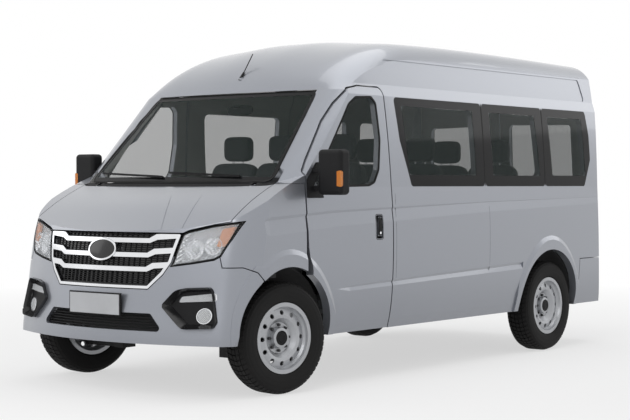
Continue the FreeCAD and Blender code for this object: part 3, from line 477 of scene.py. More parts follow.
def turned(name, section, frame_matrix, body, finish, count):
    """A solid turned about an axle: section of (along the axle, radius) in millimetres, as a closed line."""
    mesh = bmesh.new()
    rows = []
    for k in range(count):
        angle = math.tau * k / count
        spots = [Vector((a * MM, r * math.cos(angle) * MM, r * math.sin(angle) * MM)) for a, r in section]
        rows.append([mesh.verts.new(frame_matrix @ spot) for spot in spots])
    size = len(section)
    for k in range(count):
        first, second = rows[k], rows[(k + 1) % count]
        for index in range(size):
            after = (index + 1) % size
            mesh.faces.new((first[index], first[after], second[after], second[index]))
    bmesh.ops.dissolve_degenerate(mesh, dist=1e-7, edges=mesh.edges)
    return made(name, mesh, body, finish)


def block(name, low, high, body, finish, bevel):
    """A box with rounded edges between two corners in millimetres."""
    mesh = bmesh.new()
    bmesh.ops.create_cube(mesh, size=1.0)
    low, high = Vector(map(min, low, high)), Vector(map(max, low, high))
    for vertex in mesh.verts:
        spot = (low + high) / 2 + Vector(v * s for v, s in zip(vertex.co, high - low))
        vertex.co = spot
    bmesh.ops.bevel(mesh, geom=mesh.edges[:], offset=bevel, segments=3, profile=0.6, affect="EDGES")
    for vertex in mesh.verts:
        vertex.co = at(*vertex.co)
    return made(name, mesh, body, finish)


# Geometry Nodes: copies round an axle

def copies_tree(name):
    """A tree that repeats the carrier's own mesh round the X axis, as one mesh."""
    tree = bpy.data.node_groups.new(name, "GeometryNodeTree")
    face = tree.interface
    face.new_socket("Geometry", in_out="INPUT", socket_type="NodeSocketGeometry")
    face.new_socket("Geometry", in_out="OUTPUT", socket_type="NodeSocketGeometry")
    face.new_socket("Count", in_out="INPUT", socket_type="NodeSocketInt")
    face.new_socket("Step", in_out="INPUT", socket_type="NodeSocketVector")
    face.new_socket("Material", in_out="INPUT", socket_type="NodeSocketMaterial")
    new, link = tree.nodes.new, tree.links.new
    source, target = new("NodeGroupInput"), new("NodeGroupOutput")
    line = new("GeometryNodeMeshLine")
    line.inputs["Offset"].default_value = (0, 0, 0)
    link(source.outputs["Count"], line.inputs["Count"])
    turn = new("ShaderNodeVectorMath")
    turn.operation = "SCALE"
    link(source.outputs["Step"], turn.inputs[0])
    link(new("GeometryNodeInputIndex").outputs[0], turn.inputs["Scale"])
    place = new("GeometryNodeInstanceOnPoints")
    link(line.outputs["Mesh"], place.inputs["Points"])
    link(source.outputs["Geometry"], place.inputs["Instance"])
    link(turn.outputs[0], place.inputs["Rotation"])
    real = new("GeometryNodeRealizeInstances")
    paint = new("GeometryNodeSetMaterial")
    link(place.outputs["Instances"], real.inputs[0])
    link(real.outputs[0], paint.inputs["Geometry"])
    link(source.outputs["Material"], paint.inputs["Material"])
    link(paint.outputs[0], target.inputs[0])
    return tree


def grown(name, seed, tree, count, finish, matrix, body):
    """Repeats a seed mesh evenly round its axle and keeps the result as one plain mesh on a body."""
    data = bpy.data.meshes.new(name + "_seed")
    seed.to_mesh(data)
    seed.free()
    carrier = bpy.data.objects.new(name + "_seed", data)
    bpy.context.scene.collection.objects.link(carrier)
    modifier = carrier.modifiers.new("copies", "NODES")
    modifier.node_group = tree
    keys = {item.name: item.identifier for item in tree.interface.items_tree if item.in_out == "INPUT"}
    modifier[keys["Count"]] = count
    modifier[keys["Step"]] = (math.tau / count, 0, 0)
    modifier[keys["Material"]] = FINISH[finish]
    bpy.context.view_layer.update()
    result = bpy.data.meshes.new_from_object(carrier.evaluated_get(bpy.context.evaluated_depsgraph_get()))
    carrier.modifiers.clear()
    bpy.data.objects.remove(carrier)
    result.name = name
    result.transform(matrix)
    result.materials.clear()
    result.materials.append(FINISH[finish])
    thing = bpy.data.objects.new(name, result)
    bpy.context.scene.collection.objects.link(thing)
    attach(thing, body)


def seed_nut(across, height, low):
    """A hexagon nut along the X axis that starts at low."""
    mesh = bmesh.new()
    place = Matrix.Translation(((low + height / 2) * MM, 0, 0)) @ Matrix.Rotation(math.pi / 2, 4, "Y")
    bmesh.ops.create_cone(mesh, cap_ends=True, segments=6, radius1=across * MM, radius2=across * 0.86 * MM,
                          depth=height * MM, matrix=place)
    return mesh


DOOR_PULL, SLIDER_PULL = 917, 1170
CUP, CUP_LOW, CUP_HIGH, CUP_FLOOR, CUP_MOUTH = 36, 940, 1096, 960, 982


def finishes(sizes):
    """Every material, made once and kept by its plain name."""
    FINISH.update(
        paint=make_paint(sizes.paint_colour[:]),
        screen=make_glass("windscreen glass", (0.05, 0.07, 0.065), 0.15, [SCREEN_HOLE], along=False),
        panes=make_glass("side glass", (0.035, 0.05, 0.047), sizes.tint, PANE_HOLES),
        door_pane=make_glass("door glass", (0.045, 0.06, 0.057), sizes.tint * 0.8),
        rear_pane=make_glass("rear glass", (0.035, 0.05, 0.047), sizes.tint),
        black=plain("grained black plastic", (0.013, 0.013, 0.014), 0.55, 0.0005, specular_ior_level=0.15),
        gloss_black=plain("gloss black plastic", (0.010, 0.010, 0.011), 0.16),
        seal=plain("seal rubber", (0.010, 0.010, 0.010), 0.70, 0.0002, specular_ior_level=0.2),
        chrome=plain("bright plated trim", (0.78, 0.79, 0.81), 0.14, metallic=1.0),
        reflector=make_ribbed("lamp reflector", (0.80, 0.81, 0.83), 0.022, metallic=1.0),
        clear=make_lamp_glass("clear lamp lens", (0.80, 0.83, 0.86), 0.16),
        amber=make_ribbed("amber lens", (0.85, 0.26, 0.02), 0.012),
        red=make_ribbed("red lens", (0.42, 0.010, 0.010), 0.014),
        white=make_ribbed("white lens", (0.80, 0.82, 0.84), 0.012),
        rubber=make_rubber(),
        wheel=plain("silver wheel paint", (0.44, 0.45, 0.47), 0.34, metallic=0.55),
        dark=plain("dark cast metal", (0.045, 0.045, 0.048), 0.55, 0.0008, 300.0, metallic=0.4),
        under=plain("underbody coating", (0.022, 0.022, 0.023), 0.75, 0.0012, 220.0),
        floor=plain("cabin floor covering", (0.045, 0.046, 0.048), 0.8, 0.0008, 500.0),
        dash=plain("dashboard plastic", (0.040, 0.041, 0.044), 0.62, 0.0004, 800.0),
        lining=plain("pale headlining", (0.46, 0.46, 0.45), 0.9, 0.0004, 1200.0),
        cloth=make_fabric(),
        plate=plain("blank plate", (0.50, 0.51, 0.53), 0.4),
        screen_off=plain("dark display", (0.006, 0.007, 0.009), 0.08),
    )


# Pieces

LINED = ("roof", "side_panel_left", "side_panel_right", "sliding_door", "front_door_left",
         "front_door_right", "rear_door_left", "rear_door_right")
NODE_FINISHES = {
    "paint": LINED + ("rear_bumper", "front_bumper", "bonnet", "fenders"),
    "screen": ("windscreen",),
    "panes": ("side_glass",),
    "door_pane": ("door_glass_left", "door_glass_right"),
    "rear_pane": ("rear_glass_left", "rear_glass_right"),
    "black": ("cowl", "wipers", "mirror_left", "mirror_right", "fuel_tank", "steering_wheel", "fog_lamps"),
    "gloss_black": ("grille",),
    "under": ("wheel_arch_liners", "front_panel", "chassis_frame", "front_subframe", "rear_axle"),
    "dark": ("knuckle_left", "knuckle_right", "steering_rack", "engine", "exhaust"),
    "floor": ("floor_pan", "bulkhead"),
    "dash": ("dashboard",),
    "clear": ("headlamps",),
    "red": ("tail_lamps",),
    "cloth": ("front_seats", "rear_seats"),
}


def paint_nodes():
    """Materials of the solids that stay in view, with the cabin side of each panel in its lining."""
    trim = {name: finish for finish, names in NODE_FINISHES.items() for name in names}
    for name, node in NODES.items():
        finish = trim.get(name, "rubber" if name.startswith("tyre") else "wheel")
        node.data.materials.clear()
        node.data.materials.append(FINISH[finish])
        for face in node.data.polygons:
            face.material_index = 0
    for name in LINED:
        marked(name, "lining", lambda face: faces_cabin(face, name))
    for name, station in (("front_door_left", DOOR_PULL), ("front_door_right", DOOR_PULL),
                          ("sliding_door", SLIDER_PULL)):
        marked(name, "black", lambda face: in_cup(face.center / MM, station))
    marked("roof", "black", lambda face: on_aerial(face.center / MM))
    marked("grille", "chrome", lambda face: on_frame(face.center / MM))


def marked(name, finish, test):
    """Gives the faces of one solid that pass a test a finish of their own."""
    data = NODES[name].data
    data.materials.append(FINISH[finish])
    for face in data.polygons:
        if test(face):
            face.material_index = len(data.materials) - 1


def faces_cabin(face, name):
    """Whether a face of a panel looks into the cabin."""
    spot, way = face.center, face.normal
    if name == "roof":
        return way.z < -0.25 and spot.z > 1.93
    if name.startswith("rear_door"):
        return way.y < -0.6
    return way.x * spot.x < 0 and abs(way.x) > 0.6 and spot.z > 0.5


def in_cup(spot, station):
    """Whether a point in millimetres lies in the sunken cup behind a door's handle."""
    return (abs(spot.y + MIDDLE - station) < CUP + 1 and CUP_LOW - 1 < spot.z < CUP_HIGH + 1
            and CUP_FLOOR < abs(spot.x) < CUP_MOUTH)


AERIAL_HALF, AERIAL_END = 14.5, 790
ROOF_START, ROOF_LEVEL, ROOF_SLOPE = 640, 2036, 0.42  # just above the roof's front, below the aerial


def on_aerial(spot):
    """Whether a point in millimetres lies on the aerial, above the slope of the roof's front."""
    along = spot.y + MIDDLE
    level = ROOF_LEVEL + (along - ROOF_START) * ROOF_SLOPE
    return abs(spot.x) < AERIAL_HALF and along < AERIAL_END and spot.z > level


NOSE_LEAN = ((560, 33), (800, 71), (1004, 114))


def nose_face(across, up):
    """Station of the nose's surface in millimetres."""
    lean = NOSE_LEAN[-1][1]
    for (low, near), (high, far) in zip(NOSE_LEAN, NOSE_LEAN[1:]):
        if up <= high:
            lean = near + (far - near) * (up - low) / (high - low)
            break
    return lean - 745 + 250 * (across / 1000) ** 2


def nose_place(across, up, depth):
    """Place at a depth behind the nose's even surface, whatever is cut into it."""
    return at(across, nose_face(across, up) + depth, up)


def between(number, knots):
    """Straight-line reading of a table of (number, result), flat beyond its ends."""
    for (low, first), (high, last) in zip(knots, knots[1:]):
        if number <= high:
            return first + (last - first) * max(0.0, number - low) / (high - low)
    return knots[-1][1]


def contains(loop, u, v):
    """Whether a closed outline holds a point."""
    held = False
    for (u0, v0), (u1, v1) in zip(loop, loop[1:] + loop[:1]):
        if (v0 > v) != (v1 > v) and u < u0 + (u1 - u0) * (v - v0) / (v1 - v0):
            held = not held
    return held


BARS = (944, 856, 770)
BAR, BAR_DEEP = 28, 26
GRILLE_HALF = [(562, 1020), (520, 838), (474, 768), (388, 684)]
GRILLE_HOLE = [(-x, z) for x, z in GRILLE_HALF[::-1]] + GRILLE_HALF


def on_bar(across, up):
    """Whether a point of the nose, seen from in front, lies on one of the three kinked bars."""
    across = abs(across)
    rise = between(across, [(375, 0), (425, 20), (600, 32)])
    top = between(across, [(365, 0), (410, 25), (600, 37)])
    return any(low + rise - 2 < up < low + BAR + top + 2 for low in BARS)


def on_frame(spot):
    """Whether a point in millimetres lies on the grille's bright bars or frame, before the mesh."""
    depth = spot.y + MIDDLE - nose_face(spot.x, spot.z)
    return depth < BAR_DEEP and (on_bar(spot.x, spot.z) or not contains(GRILLE_HOLE, spot.x, spot.z))


LAMP = [(536, 803), (548, 828), (590, 999), (622, 1016), (772, 1052), (926, 1077), (893, 972), (845, 869),
        (807, 846), (686, 824)]
FOG = [(517, 569), (599, 663), (650, 678), (808, 686), (826, 660), (868, 478), (850, 441), (669, 433)]
FOG_REACH = 24  # how far the fog lamp's surround goes behind the surface, and 1 mm more before it
# Name, across, up, radius of the bowl, radius of the bulb
BULBS = (("dipped", 672, 908, 56, 17), ("main", 786, 930, 48, 14))
BOWL_DEEP = 36
INDICATOR = [(806, 925), (822, 1030), (890, 1048), (868, 930)]
RUNNING_LIGHT = [(606, 592), (620, 622), (838, 648), (846, 606)]


def bowl(name, u, v, radius, deep, place, body, finish):
    """A round reflector: a dish sunk behind the surface with a rim."""
    loops = [(circle(u, v, radius + 5), deep + 4), (circle(u, v, radius + 5), 7), (circle(u, v, radius), 7)]
    for share in (0.85, 0.6, 0.35, 0.12):
        loops.append((circle(u, v, radius * share), 7 + (deep - 7) * (1 - share ** 2)))
    return on_skin(name, loops, place, body, finish)


def head_lamp(sign, side):
    """Lens, seal, housing with its two reflectors and bulbs, and indicator of one headlamp."""
    place = in_front(sign)
    loop = profile(LAMP, 8, 30)
    name = "headlamp_%s_" % side
    lens = moved(loop, -4)
    patch(name + "lens", lens, place, "body", "clear", 0, 3, 5)
    band(name + "edge", lens, place, "body", "seal", 0, 7, 0.6, 6)
    shell = [(moved(loop, -5), 8), (moved(loop, -5), 41), (shrunk(loop, 0.02), 41), (shrunk(loop, 0.02), 38),
             (shrunk(loop, 0.5), 38), (shrunk(loop, 0.8), 34), (moved(loop, -12), 8)]
    shell_piece = on_skin(name + "housing", shell, place, "body", "reflector", ring=True)
    for label, u, v, dish, _ in BULBS:
        bowl(name + label, u, v, dish, BOWL_DEEP, place, "body", "reflector")
    for label, u, v, _, bulb in BULBS:
        patch(name + label + "_bulb", circle(u, v, bulb), place, "body", "white", -12, 34, 4,
              dome=6)
    patch(name + "indicator", profile(INDICATOR, 12, 20), place, "body", "amber", -8, 30, 3)
    return shell_piece


def front_lamps():
    """Both headlamps, and the running light and fog lamp in each black pod."""
    for sign, side in SIDES:
        shell = head_lamp(sign, side)
        if sign > 0:
            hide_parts("headlamps")
        place = in_front(sign)
        fog = profile(FOG, 25, 30)
        name = "fog_%s_" % side
        rim = [(moved(fog, -1), FOG_REACH), (moved(fog, -1), -1 - FOG_REACH), (moved(fog, -14), -1 - FOG_REACH),
               (moved(fog, -26), -1)]
        on_skin(name + "surround", rim, place, "body", "gloss_black", ring=True)
        drl = profile(RUNNING_LIGHT, 10, 20)
        patch(name + "running_light", drl, place, "body", "white", 5, 1, 3, dome=2)
        band(name + "running_light_rim", drl, place, "body", "chrome", 4, 1, 6, 1)
        patch(name + "lamp", circle(770, 512, 40), place, "body", "white", 3, 1, 4, dome=5)
        band(name + "lamp_rim", circle(770, 512, 44), place, "body", "chrome", 5, 4, 6, 1)


# Nose, glass and side trim

MESH_SIDE = [(684, 384), (768, 468), (838, 514), (1000, 546)]
MESH_FOOT = [(384, 690), (468, 772), (514, 842), (546, 1000)]
MESH_LOW, MESH_HIGH, SLAT_STEP, RIB_STEP, RIBS_EACH_SIDE = 694, 1004, 13, 42, 12
INTAKE_SIDE = [(412, 528), (519, 430)]
INTAKE_LOW, INTAKE_STEP = 424, 17
BADGE_HALF, BADGE_HEIGHT, BADGE_LEVEL = 125, 72, 900


def nose_trim():
    """Mesh slats, blank badge, blank plate and the windscreen's seal."""
    def mesh_place(across, up, depth):
        return nose_place(across, up, depth + 22)

    for number, up in enumerate(range(MESH_LOW, MESH_HIGH, SLAT_STEP)):
        reach = between(up, MESH_SIDE)
        stripe("grille_slat_%02d" % number, [(-reach, up), (0, up), (reach, up)], 4.5, mesh_place, "body",
               "black", 3, 8)
    for number in range(2 * RIBS_EACH_SIDE + 1):
        across = (number - RIBS_EACH_SIDE) * RIB_STEP
        low = between(abs(across), MESH_FOOT)
        stripe("grille_rib_%02d" % number, [(across, low), (across, 1000)], 4.5, mesh_place, "body", "black",
               2, 8)
    for number in range(6):
        up = INTAKE_LOW + number * INTAKE_STEP
        reach = between(up, INTAKE_SIDE)
        stripe("intake_slat_%d" % number, [(-reach, up), (0, up), (reach, up)], 7, mesh_place, "body",
               "black", 4, 14)
    angles = [math.tau * k / 48 for k in range(48)]
    oval = [Vector((BADGE_HALF * math.cos(angle), BADGE_LEVEL + BADGE_HEIGHT * math.sin(angle)))
            for angle in angles]
    patch("badge_field", shrunk(oval, 0.9), nose_place, "body", "gloss_black", 5, 20, 5, 4)
    band("badge_ring", oval, nose_place, "body", "chrome", 0, 15, 9, 20)
    block("plate_holder", (-230, -724, 494), (230, -712, 636), "body", "black", 3)
    block("plate", (-220, -728, 502), (220, -720, 627), "body", "plate", 2)
    screen = profile([(-824, 1318), (824, 1318), (731, 1915), (-731, 1915)], 60, 60)
    band("windscreen_seal", screen, in_front(), "body", "seal", 2, 8, 1.2, 5)


DOOR_WINDOW = [(235, 1290), (350, 1440), (650, 1820), (730, 1868), (900, 1876), (940, 1840), (958, 1600),
               (930, 1400), (880, 1320), (820, 1300)]
GLASS_JOINTS = (2245.5, 3114.0)


def handle(name, station, place, body):
    """Black pull with its lock and the rim of its cup."""
    grip = rect((station - 16, CUP_LOW + 20), (station + 16, CUP_HIGH - 14), 12, 12)
    patch(name + "_grip", grip, place, body, "black", 3, 2, 4, dome=3)
    patch(name + "_lock", circle(station, 978, 9, 16), place, body, "chrome", 8, 1, 2)
    cup = rect((station - CUP, CUP_LOW), (station + CUP, CUP_HIGH), 12, 14)
    band(name + "_rim", moved(cup, 7), place, body, "seal", 0, 4, 1.5, 4)


def side_trim():
    """Glass joints, door seals, handles, mirrors' lenses and the right side's rail."""
    for sign, side in SIDES:
        place = from_side(sign)
        door = "front_door_" + side
        for number, along in enumerate(GLASS_JOINTS):
            stripe("glass_joint_%s_%d" % (side, number), [(along, 1290), (along, 1888)], 11, place, "body",
                   "seal", 0.8, 5)
        seal = profile(DOOR_WINDOW, 14, 40)
        band("window_seal_" + side, seal, place, door, "seal", 13, 3, 1.4, 5)
        handle("handle_" + side, DOOR_PULL, place, door)
        block("mirror_glass_" + side, (sign * 1040, 312, 1252), (sign * 1192, 319, 1500), door, "chrome", 2)
        block("mirror_lamp_" + side, (sign * 1174, 210, 1284), (sign * 1210.5, 292, 1386), door, "amber", 11)
        for label, along, high in (("front", 2285, 1140), ("pillar", 1108, 1240)):
            stripe("panel_seam_%s_%s" % (label, side), [(along, 668), (along, high)], 2.4, place, "body",
                   "seal", 0.15, 2)
    place = from_side(-1)
    handle("handle_sliding", SLIDER_PULL, place, "body")
    stripe("door_rail", [(2290, 1222), (3860, 1240)], 26, place, "body", "black", 3, 4)
    flap = rect((2330, 940), (2490, 1090), 20, 30)
    band("fuel_flap", flap, place, "body", "seal", 1.5, 1.5, 0.2, 2)


REAR_WINDOW = [(95, 1330), (715, 1330), (700, 1800), (95, 1812)]


def rear_trim():
    """Lamp segments, rear doors' seals and handle, blank plate, brake lamp and bumper step."""
    for sign, side in SIDES:
        place = behind(sign)
        door = "rear_door_" + side
        for label, low, high, finish in (("reverse", 872, 968, "white"), ("indicator", 985, 1085, "amber")):
            loop = profile([(886, low), (948, low), (946, high), (886, high)], 10, 16)
            patch("tail_%s_%s" % (label, side), loop, place, "body", finish, 1.5, 3, 3, dome=3)
        loop = profile(REAR_WINDOW, 30, 40)
        band("rear_seal_" + side, loop, place, door, "seal", 10, 3, 1.4, 5)
        loop = profile([(4020, 862), (4064, 862), (4048, 1306), (4018, 1306)], 14, 24)
        patch("tail_side_" + side, loop, from_side(sign), "body", "red", 3, 4, 3, dome=3)
    place = behind()
    patch("rear_handle", rect((36, 1010), (168, 1060), 12, 14), place, "rear_door_left", "black", 9, 2, 3,
          dome=4)
    patch("rear_plate", rect((170, 820), (610, 940), 6, 40), place, "rear_door_left", "plate", 4, 2, 2)
    loop = profile([(-150, 2128), (150, 2128), (140, 2152), (-140, 2152)], 8, 14)
    patch("brake_lamp", loop, place, "body", "red", 2, 3, 2, dome=2)
    patch("rear_step", rect((-700, 612), (700, 690), 14, 40), place, "body", "black", 3, 3, 2)


# Wheels

STEER = math.radians(-8.35)
KINGPIN, SCRUB, AXLE, WHEELBASE = 815.0, 52.0, 349.5, 3200.0
TYRE_HALF = [(76, 206.5), (76, 222), (89.5, 231), (96.6, 262), (97.2, 272), (96.2, 280), (97.0, 284),
             (96.8, 300), (95.4, 307), (93, 314), (94, 318), (85, 331), (70, 338.5), (47, 341)]
CAP = [(56, 0.01), (63, 0.01), (64, 26), (61, 30), (62, 36), (62, 43), (58, 46), (56, 46)]
DISC = [(-46, 72), (-46, 138), (-44, 140), (-36, 140), (-34, 138), (-34, 72)]
TREADS = ((-84, -54), (-48, -18), (-13, 13), (18, 48), (54, 84))
TREAD_COUNT, TREAD_TOP, TREAD_DEEP = 60, 349.2, 11
TREAD_HALF, TREAD_SLANT = 14, 0.28
CROWN_START, CROWN_FALL = 47, 0.0092
NUT_RING, NUT_COUNT, NUT_HALF, NUT_HIGH, NUT_FOOT = 80.0, 8, 10.5, 17, 22


def wheel_place(station, sign):
    """A wheel's own axes: x outwards along the axle."""
    steer = STEER if station == 0 else 0.0
    middle = at(sign * (KINGPIN + SCRUB * math.cos(steer)), station + sign * SCRUB * math.sin(steer), AXLE)
    return Matrix.Translation(middle) @ Matrix.Rotation(steer + (math.pi if sign < 0 else 0.0), 4, "Z")


def tread_seed():
    """Five blocks across the tread, slanted like a herringbone and following the crown."""
    mesh = bmesh.new()
    for low, high in TREADS:
        for vertex in bmesh.ops.create_cube(mesh, size=1.0)["verts"]:
            across = high if vertex.co.x > 0 else low
            crown = TREAD_TOP - max(0.0, abs(across) - CROWN_START) ** 2 * CROWN_FALL
            along = (TREAD_HALF if vertex.co.y > 0 else -TREAD_HALF) + abs(across) * TREAD_SLANT
            up = math.sqrt((crown if vertex.co.z > 0 else crown - TREAD_DEEP) ** 2 - along ** 2)
            vertex.co = Vector((across, along, up)) * MM
    return mesh


def wheels():
    """Tyres with their treads, nuts, caps and brake discs at the four corners."""
    around = copies_tree("copies round an axle")
    section = TYRE_HALF + [(-a, r) for a, r in TYRE_HALF[::-1]]
    for station, row in ((0.0, "front"), (WHEELBASE, "rear")):
        for sign, side in SIDES:
            key = "%s_%s" % (row, side)
            body = "wheel_" + key
            place = wheel_place(station, sign)
            carcass = turned("carcass_" + key, section, place, body, "rubber", 96)
            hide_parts("tyre_" + key)
            grown("tread_" + key, tread_seed(), around, TREAD_COUNT, "rubber", place, body)
            nut = seed_nut(NUT_HALF, NUT_HIGH, NUT_FOOT)
            bmesh.ops.translate(nut, vec=(0, NUT_RING * MM, 0), verts=nut.verts)
            grown("nuts_" + key, nut, around, NUT_COUNT, "dark", place, body)
            turned("cap_" + key, CAP, place, body, "black", 40)
            turned("disc_" + key, DISC, place, body, "dark", 64)


# Cabin

FLOOR, CUSHION, DRIVER = 560.0, 880.0, 400.0
LEAN = math.atan2(110, 640)
# Name, across, station, width, places, the solid that the base stands for
SEATS = (("driver", DRIVER, 620, 500, 1, "front_seats"), ("bench", 60 - DRIVER, 620, 880, 2, None),
         ("second", -90, 1640, 1400, 3, "rear_seats"), ("third", 0, 2560, 1400, 3, None))
CUTS = 14      # of each edge of a soft block's first cube
SEAM_DEEP, SEAM_WIDE = 7, 0.035
UPRIGHT = Matrix.Translation(at(0, 0, 0))


def soft_box(name, middle, half, matrix, body, finish, power, channels=()):
    """A rounded, crowned block in millimetres, with stitched channels across its upper or front face."""
    mesh = bmesh.new()
    bmesh.ops.create_cube(mesh, size=2.0)
    bmesh.ops.subdivide_edges(mesh, edges=mesh.edges[:], cuts=CUTS, use_grid_fill=True)
    for vertex in mesh.verts:
        point = vertex.co.copy()
        size = sum(abs(c) ** power for c in point) ** (1 / power)
        point /= size
        for axis, spot in channels:
            dip = SEAM_DEEP * math.exp(-((point[axis] - spot) / SEAM_WIDE) ** 2)
            point.y *= 1 - dip / half[1] if half[1] < half[2] else 1
            point.z *= 1 - dip / half[2] if half[2] < half[1] else 1
        vertex.co = matrix @ ((Vector(middle) + Vector(p * h for p, h in zip(point, half))) * MM)
    return made(name, mesh, body, finish, sharp=60.0)


def fitting(name, low, high, finish, bevel):
    """A hard block of the cabin."""
    return block(name, low, high, "body", finish, bevel)


def seat_row(label, x, y, width, count, node):
    """Cushion, back and headrest for each place, on a common base."""
    left = x - width / 2
    base = fitting("seat_base_" + label, (left + 60, y + 60, FLOOR + 1),
                   (left + width - 60, y + 460, CUSHION - 115), "black", 12)
    if node:
        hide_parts(node)
    wide = width / count
    seams = ((0, -0.52), (0, 0.52))
    for number in range(count):
        middle = left + wide * (number + 0.5)
        tag = "%s_%d" % (label, number)
        leaning = Matrix.Translation(at(middle, y + 556, CUSHION + 262)) @ Matrix.Rotation(-LEAN, 4, "X")
        for part, spot, half, matrix, power, channels in (
                ("cushion", (middle, y + 260, CUSHION - 68), (wide / 2 - 5, 258, 66), UPRIGHT, 6.0,
                 seams + ((1, -0.1),)),
                ("backrest", (0, 0, 0), (wide / 2 - 5, 56, 316), leaning, 6.0, seams + ((2, 0.45),)),
                ("headrest", (middle, y + 634, CUSHION + 684), (124, 46, 92), UPRIGHT, 4.5, ())):
            item = soft_box("%s_%s" % (part, tag), spot, half, matrix, "body", "cloth", power,
                            channels)
        for offset, letter in ((-46, "a"), (46, "b")):
            fitting("post_%s_%s" % (tag, letter), (middle + offset - 6, y + 622, CUSHION + 540),
                    (middle + offset + 6, y + 634, CUSHION + 610), "chrome", 4)


def cabin():
    """Seats, instruments, vents, gear lever, mirror and the steering wheel's pad."""
    for row in SEATS:
        seat_row(*row)
    fitting("instrument_hood", (DRIVER - 150, 215, 1205), (DRIVER + 150, 372, 1288), "dash", 22)
    fitting("instrument_glass", (DRIVER - 128, 366, 1212), (DRIVER + 128, 376, 1272), "screen_off", 4)
    fitting("centre_screen", (-82, 372, 1120), (98, 408, 1226), "screen_off", 6)
    for number, across in enumerate((-770, -170, 190, 690)):
        fitting("vent_%d" % number, (across - 44, 372, 1140), (across + 44, 404, 1196), "black", 6)
    fitting("lever_gate", (-10, 388, 960), (120, 440, 1040), "dash", 14)
    soft_box("gear_knob", (55, 470, 1092), (22, 22, 28), UPRIGHT, "body", "black", 2.6)
    fitting("gear_lever", (49, 420, 1010), (61, 476, 1080), "chrome", 4)
    soft_box("cabin_mirror", (0, 640, 1812), (118, 12, 34), UPRIGHT, "body", "black", 3.0)
    fitting("mirror_stem", (-10, 560, 1826), (10, 640, 1842), "black", 4)
    foot, way = Vector((DRIVER, 330, 1010)), Vector((0, 190, 140)).normalized()
    hub = foot + way * 155
    tilt = Matrix.Translation(at(*hub)) @ way.to_track_quat("Z", "Y").to_matrix().to_4x4()
    soft_box("wheel_pad", (0, 0, 8), (74, 62, 20), tilt, "steering_wheel", "black", 3.2)


class MINIBUS_Sizes(bpy.types.PropertyGroup):
    """Sizes and colours that a user would change."""
    paint_colour: FloatVectorProperty(
        name="Paint colour", description="Colour of the body's lacquered paint", subtype="COLOR", size=3,
        min=0.0, max=1.0, default=(0.300, 0.315, 0.352))
    tint: FloatProperty(
        name="Glass tint", description="How much of the view the side windows hide", subtype="FACTOR",
        min=0.0, max=1.0, default=0.36)


class MINIBUS_OT_finishes(bpy.types.Operator):
    """Make the materials and put them on the solids"""
    bl_idname = "minibus.finishes"
    bl_label = "Paint and materials"

    def execute(self, context):
        finishes(context.scene.minibus)
        paint_nodes()
        return {"FINISHED"}


class MINIBUS_OT_front_lamps(bpy.types.Operator):
    """Build the headlamps, running lights and fog lamps"""
    bl_idname = "minibus.front_lamps"
    bl_label = "Front lamps"

    def execute(self, context):
        front_lamps()
        return {"FINISHED"}


class MINIBUS_OT_nose_trim(bpy.types.Operator):
    """Build the grille mesh, blank badge, blank plate and windscreen seal"""
    bl_idname = "minibus.nose_trim"
    bl_label = "Nose trim"

    def execute(self, context):
        nose_trim()
        return {"FINISHED"}


class MINIBUS_OT_side_trim(bpy.types.Operator):
    """Build the glass joints, seals, handles and mirror lenses"""
    bl_idname = "minibus.side_trim"
    bl_label = "Side trim"

    def execute(self, context):
        side_trim()
        return {"FINISHED"}


class MINIBUS_OT_rear_trim(bpy.types.Operator):
    """Build the rear lamps, seals, handle and step"""
    bl_idname = "minibus.rear_trim"
    bl_label = "Rear trim"

    def execute(self, context):
        rear_trim()
        return {"FINISHED"}


class MINIBUS_OT_wheels(bpy.types.Operator):
    """Build the tyres, treads, nuts, caps and brake discs"""
    bl_idname = "minibus.wheels"
    bl_label = "Wheels"

    def execute(self, context):
        wheels()
        return {"FINISHED"}


class MINIBUS_OT_cabin(bpy.types.Operator):
    """Build the seats and the dashboard"""
    bl_idname = "minibus.cabin"
    bl_label = "Cabin"

    def execute(self, context):
        cabin()
        return {"FINISHED"}


class MINIBUS_OT_stage(bpy.types.Operator):
    """Lay the floor, set the lamps and the camera"""
    bl_idname = "minibus.stage"
    bl_label = "Stage"

    def execute(self, context):
        stage()
        return {"FINISHED"}


# Name, place and size in metres, watts
LAMPS = (("key", (2.2, -9.4, 7.2), 7.0, 330), ("fill", (-7.5, -5.0, 5.0), 6.0, 110),
         ("top", (0.5, 1.5, 8.5), 7.0, 170), ("rear", (4.0, 8.0, 5.0), 5.0, 90))
LAMP_AIM = (0, -0.5, 0.9)
WORLD_LIGHT = 0.42
CAMERA_PLACE, CAMERA_TURN, CAMERA_LENS = (6.900, -8.8085, 1.293), (90 - 0.934, 0.07, 38.79), 85.77
FLOOR_HALF, FLOOR_NEAR, FLOOR_FAR, FLOOR_GLOW = 40, 3.0, 9.0, 0.6


def seen(tree):
    """1 for the rays by which the camera, a reflection or glass sees the background, else 0."""
    path = tree.nodes.new("ShaderNodeLightPath")
    last = path.outputs["Is Camera Ray"]
    for ray in ("Is Glossy Ray", "Is Transmission Ray"):
        either = tree.nodes.new("ShaderNodeMath")
        either.operation = "MAXIMUM"
        tree.links.new(last, either.inputs[0])
        tree.links.new(path.outputs[ray], either.inputs[1])
        last = either.outputs[0]
    return last


def studio():
    """A white world where it is seen, and a plain level of light elsewhere."""
    world = bpy.data.worlds.new("studio")
    world.use_nodes = True
    tree = world.node_tree
    tree.nodes.clear()
    new, link = tree.nodes.new, tree.links.new
    power = new("ShaderNodeMapRange")
    link(seen(tree), power.inputs["Value"])
    power.inputs["To Min"].default_value = WORLD_LIGHT
    light = new("ShaderNodeBackground")
    light.inputs["Color"].default_value = (1, 1, 1, 1)
    link(power.outputs[0], light.inputs["Strength"])
    link(light.outputs[0], new("ShaderNodeOutputWorld").inputs[0])
    return world


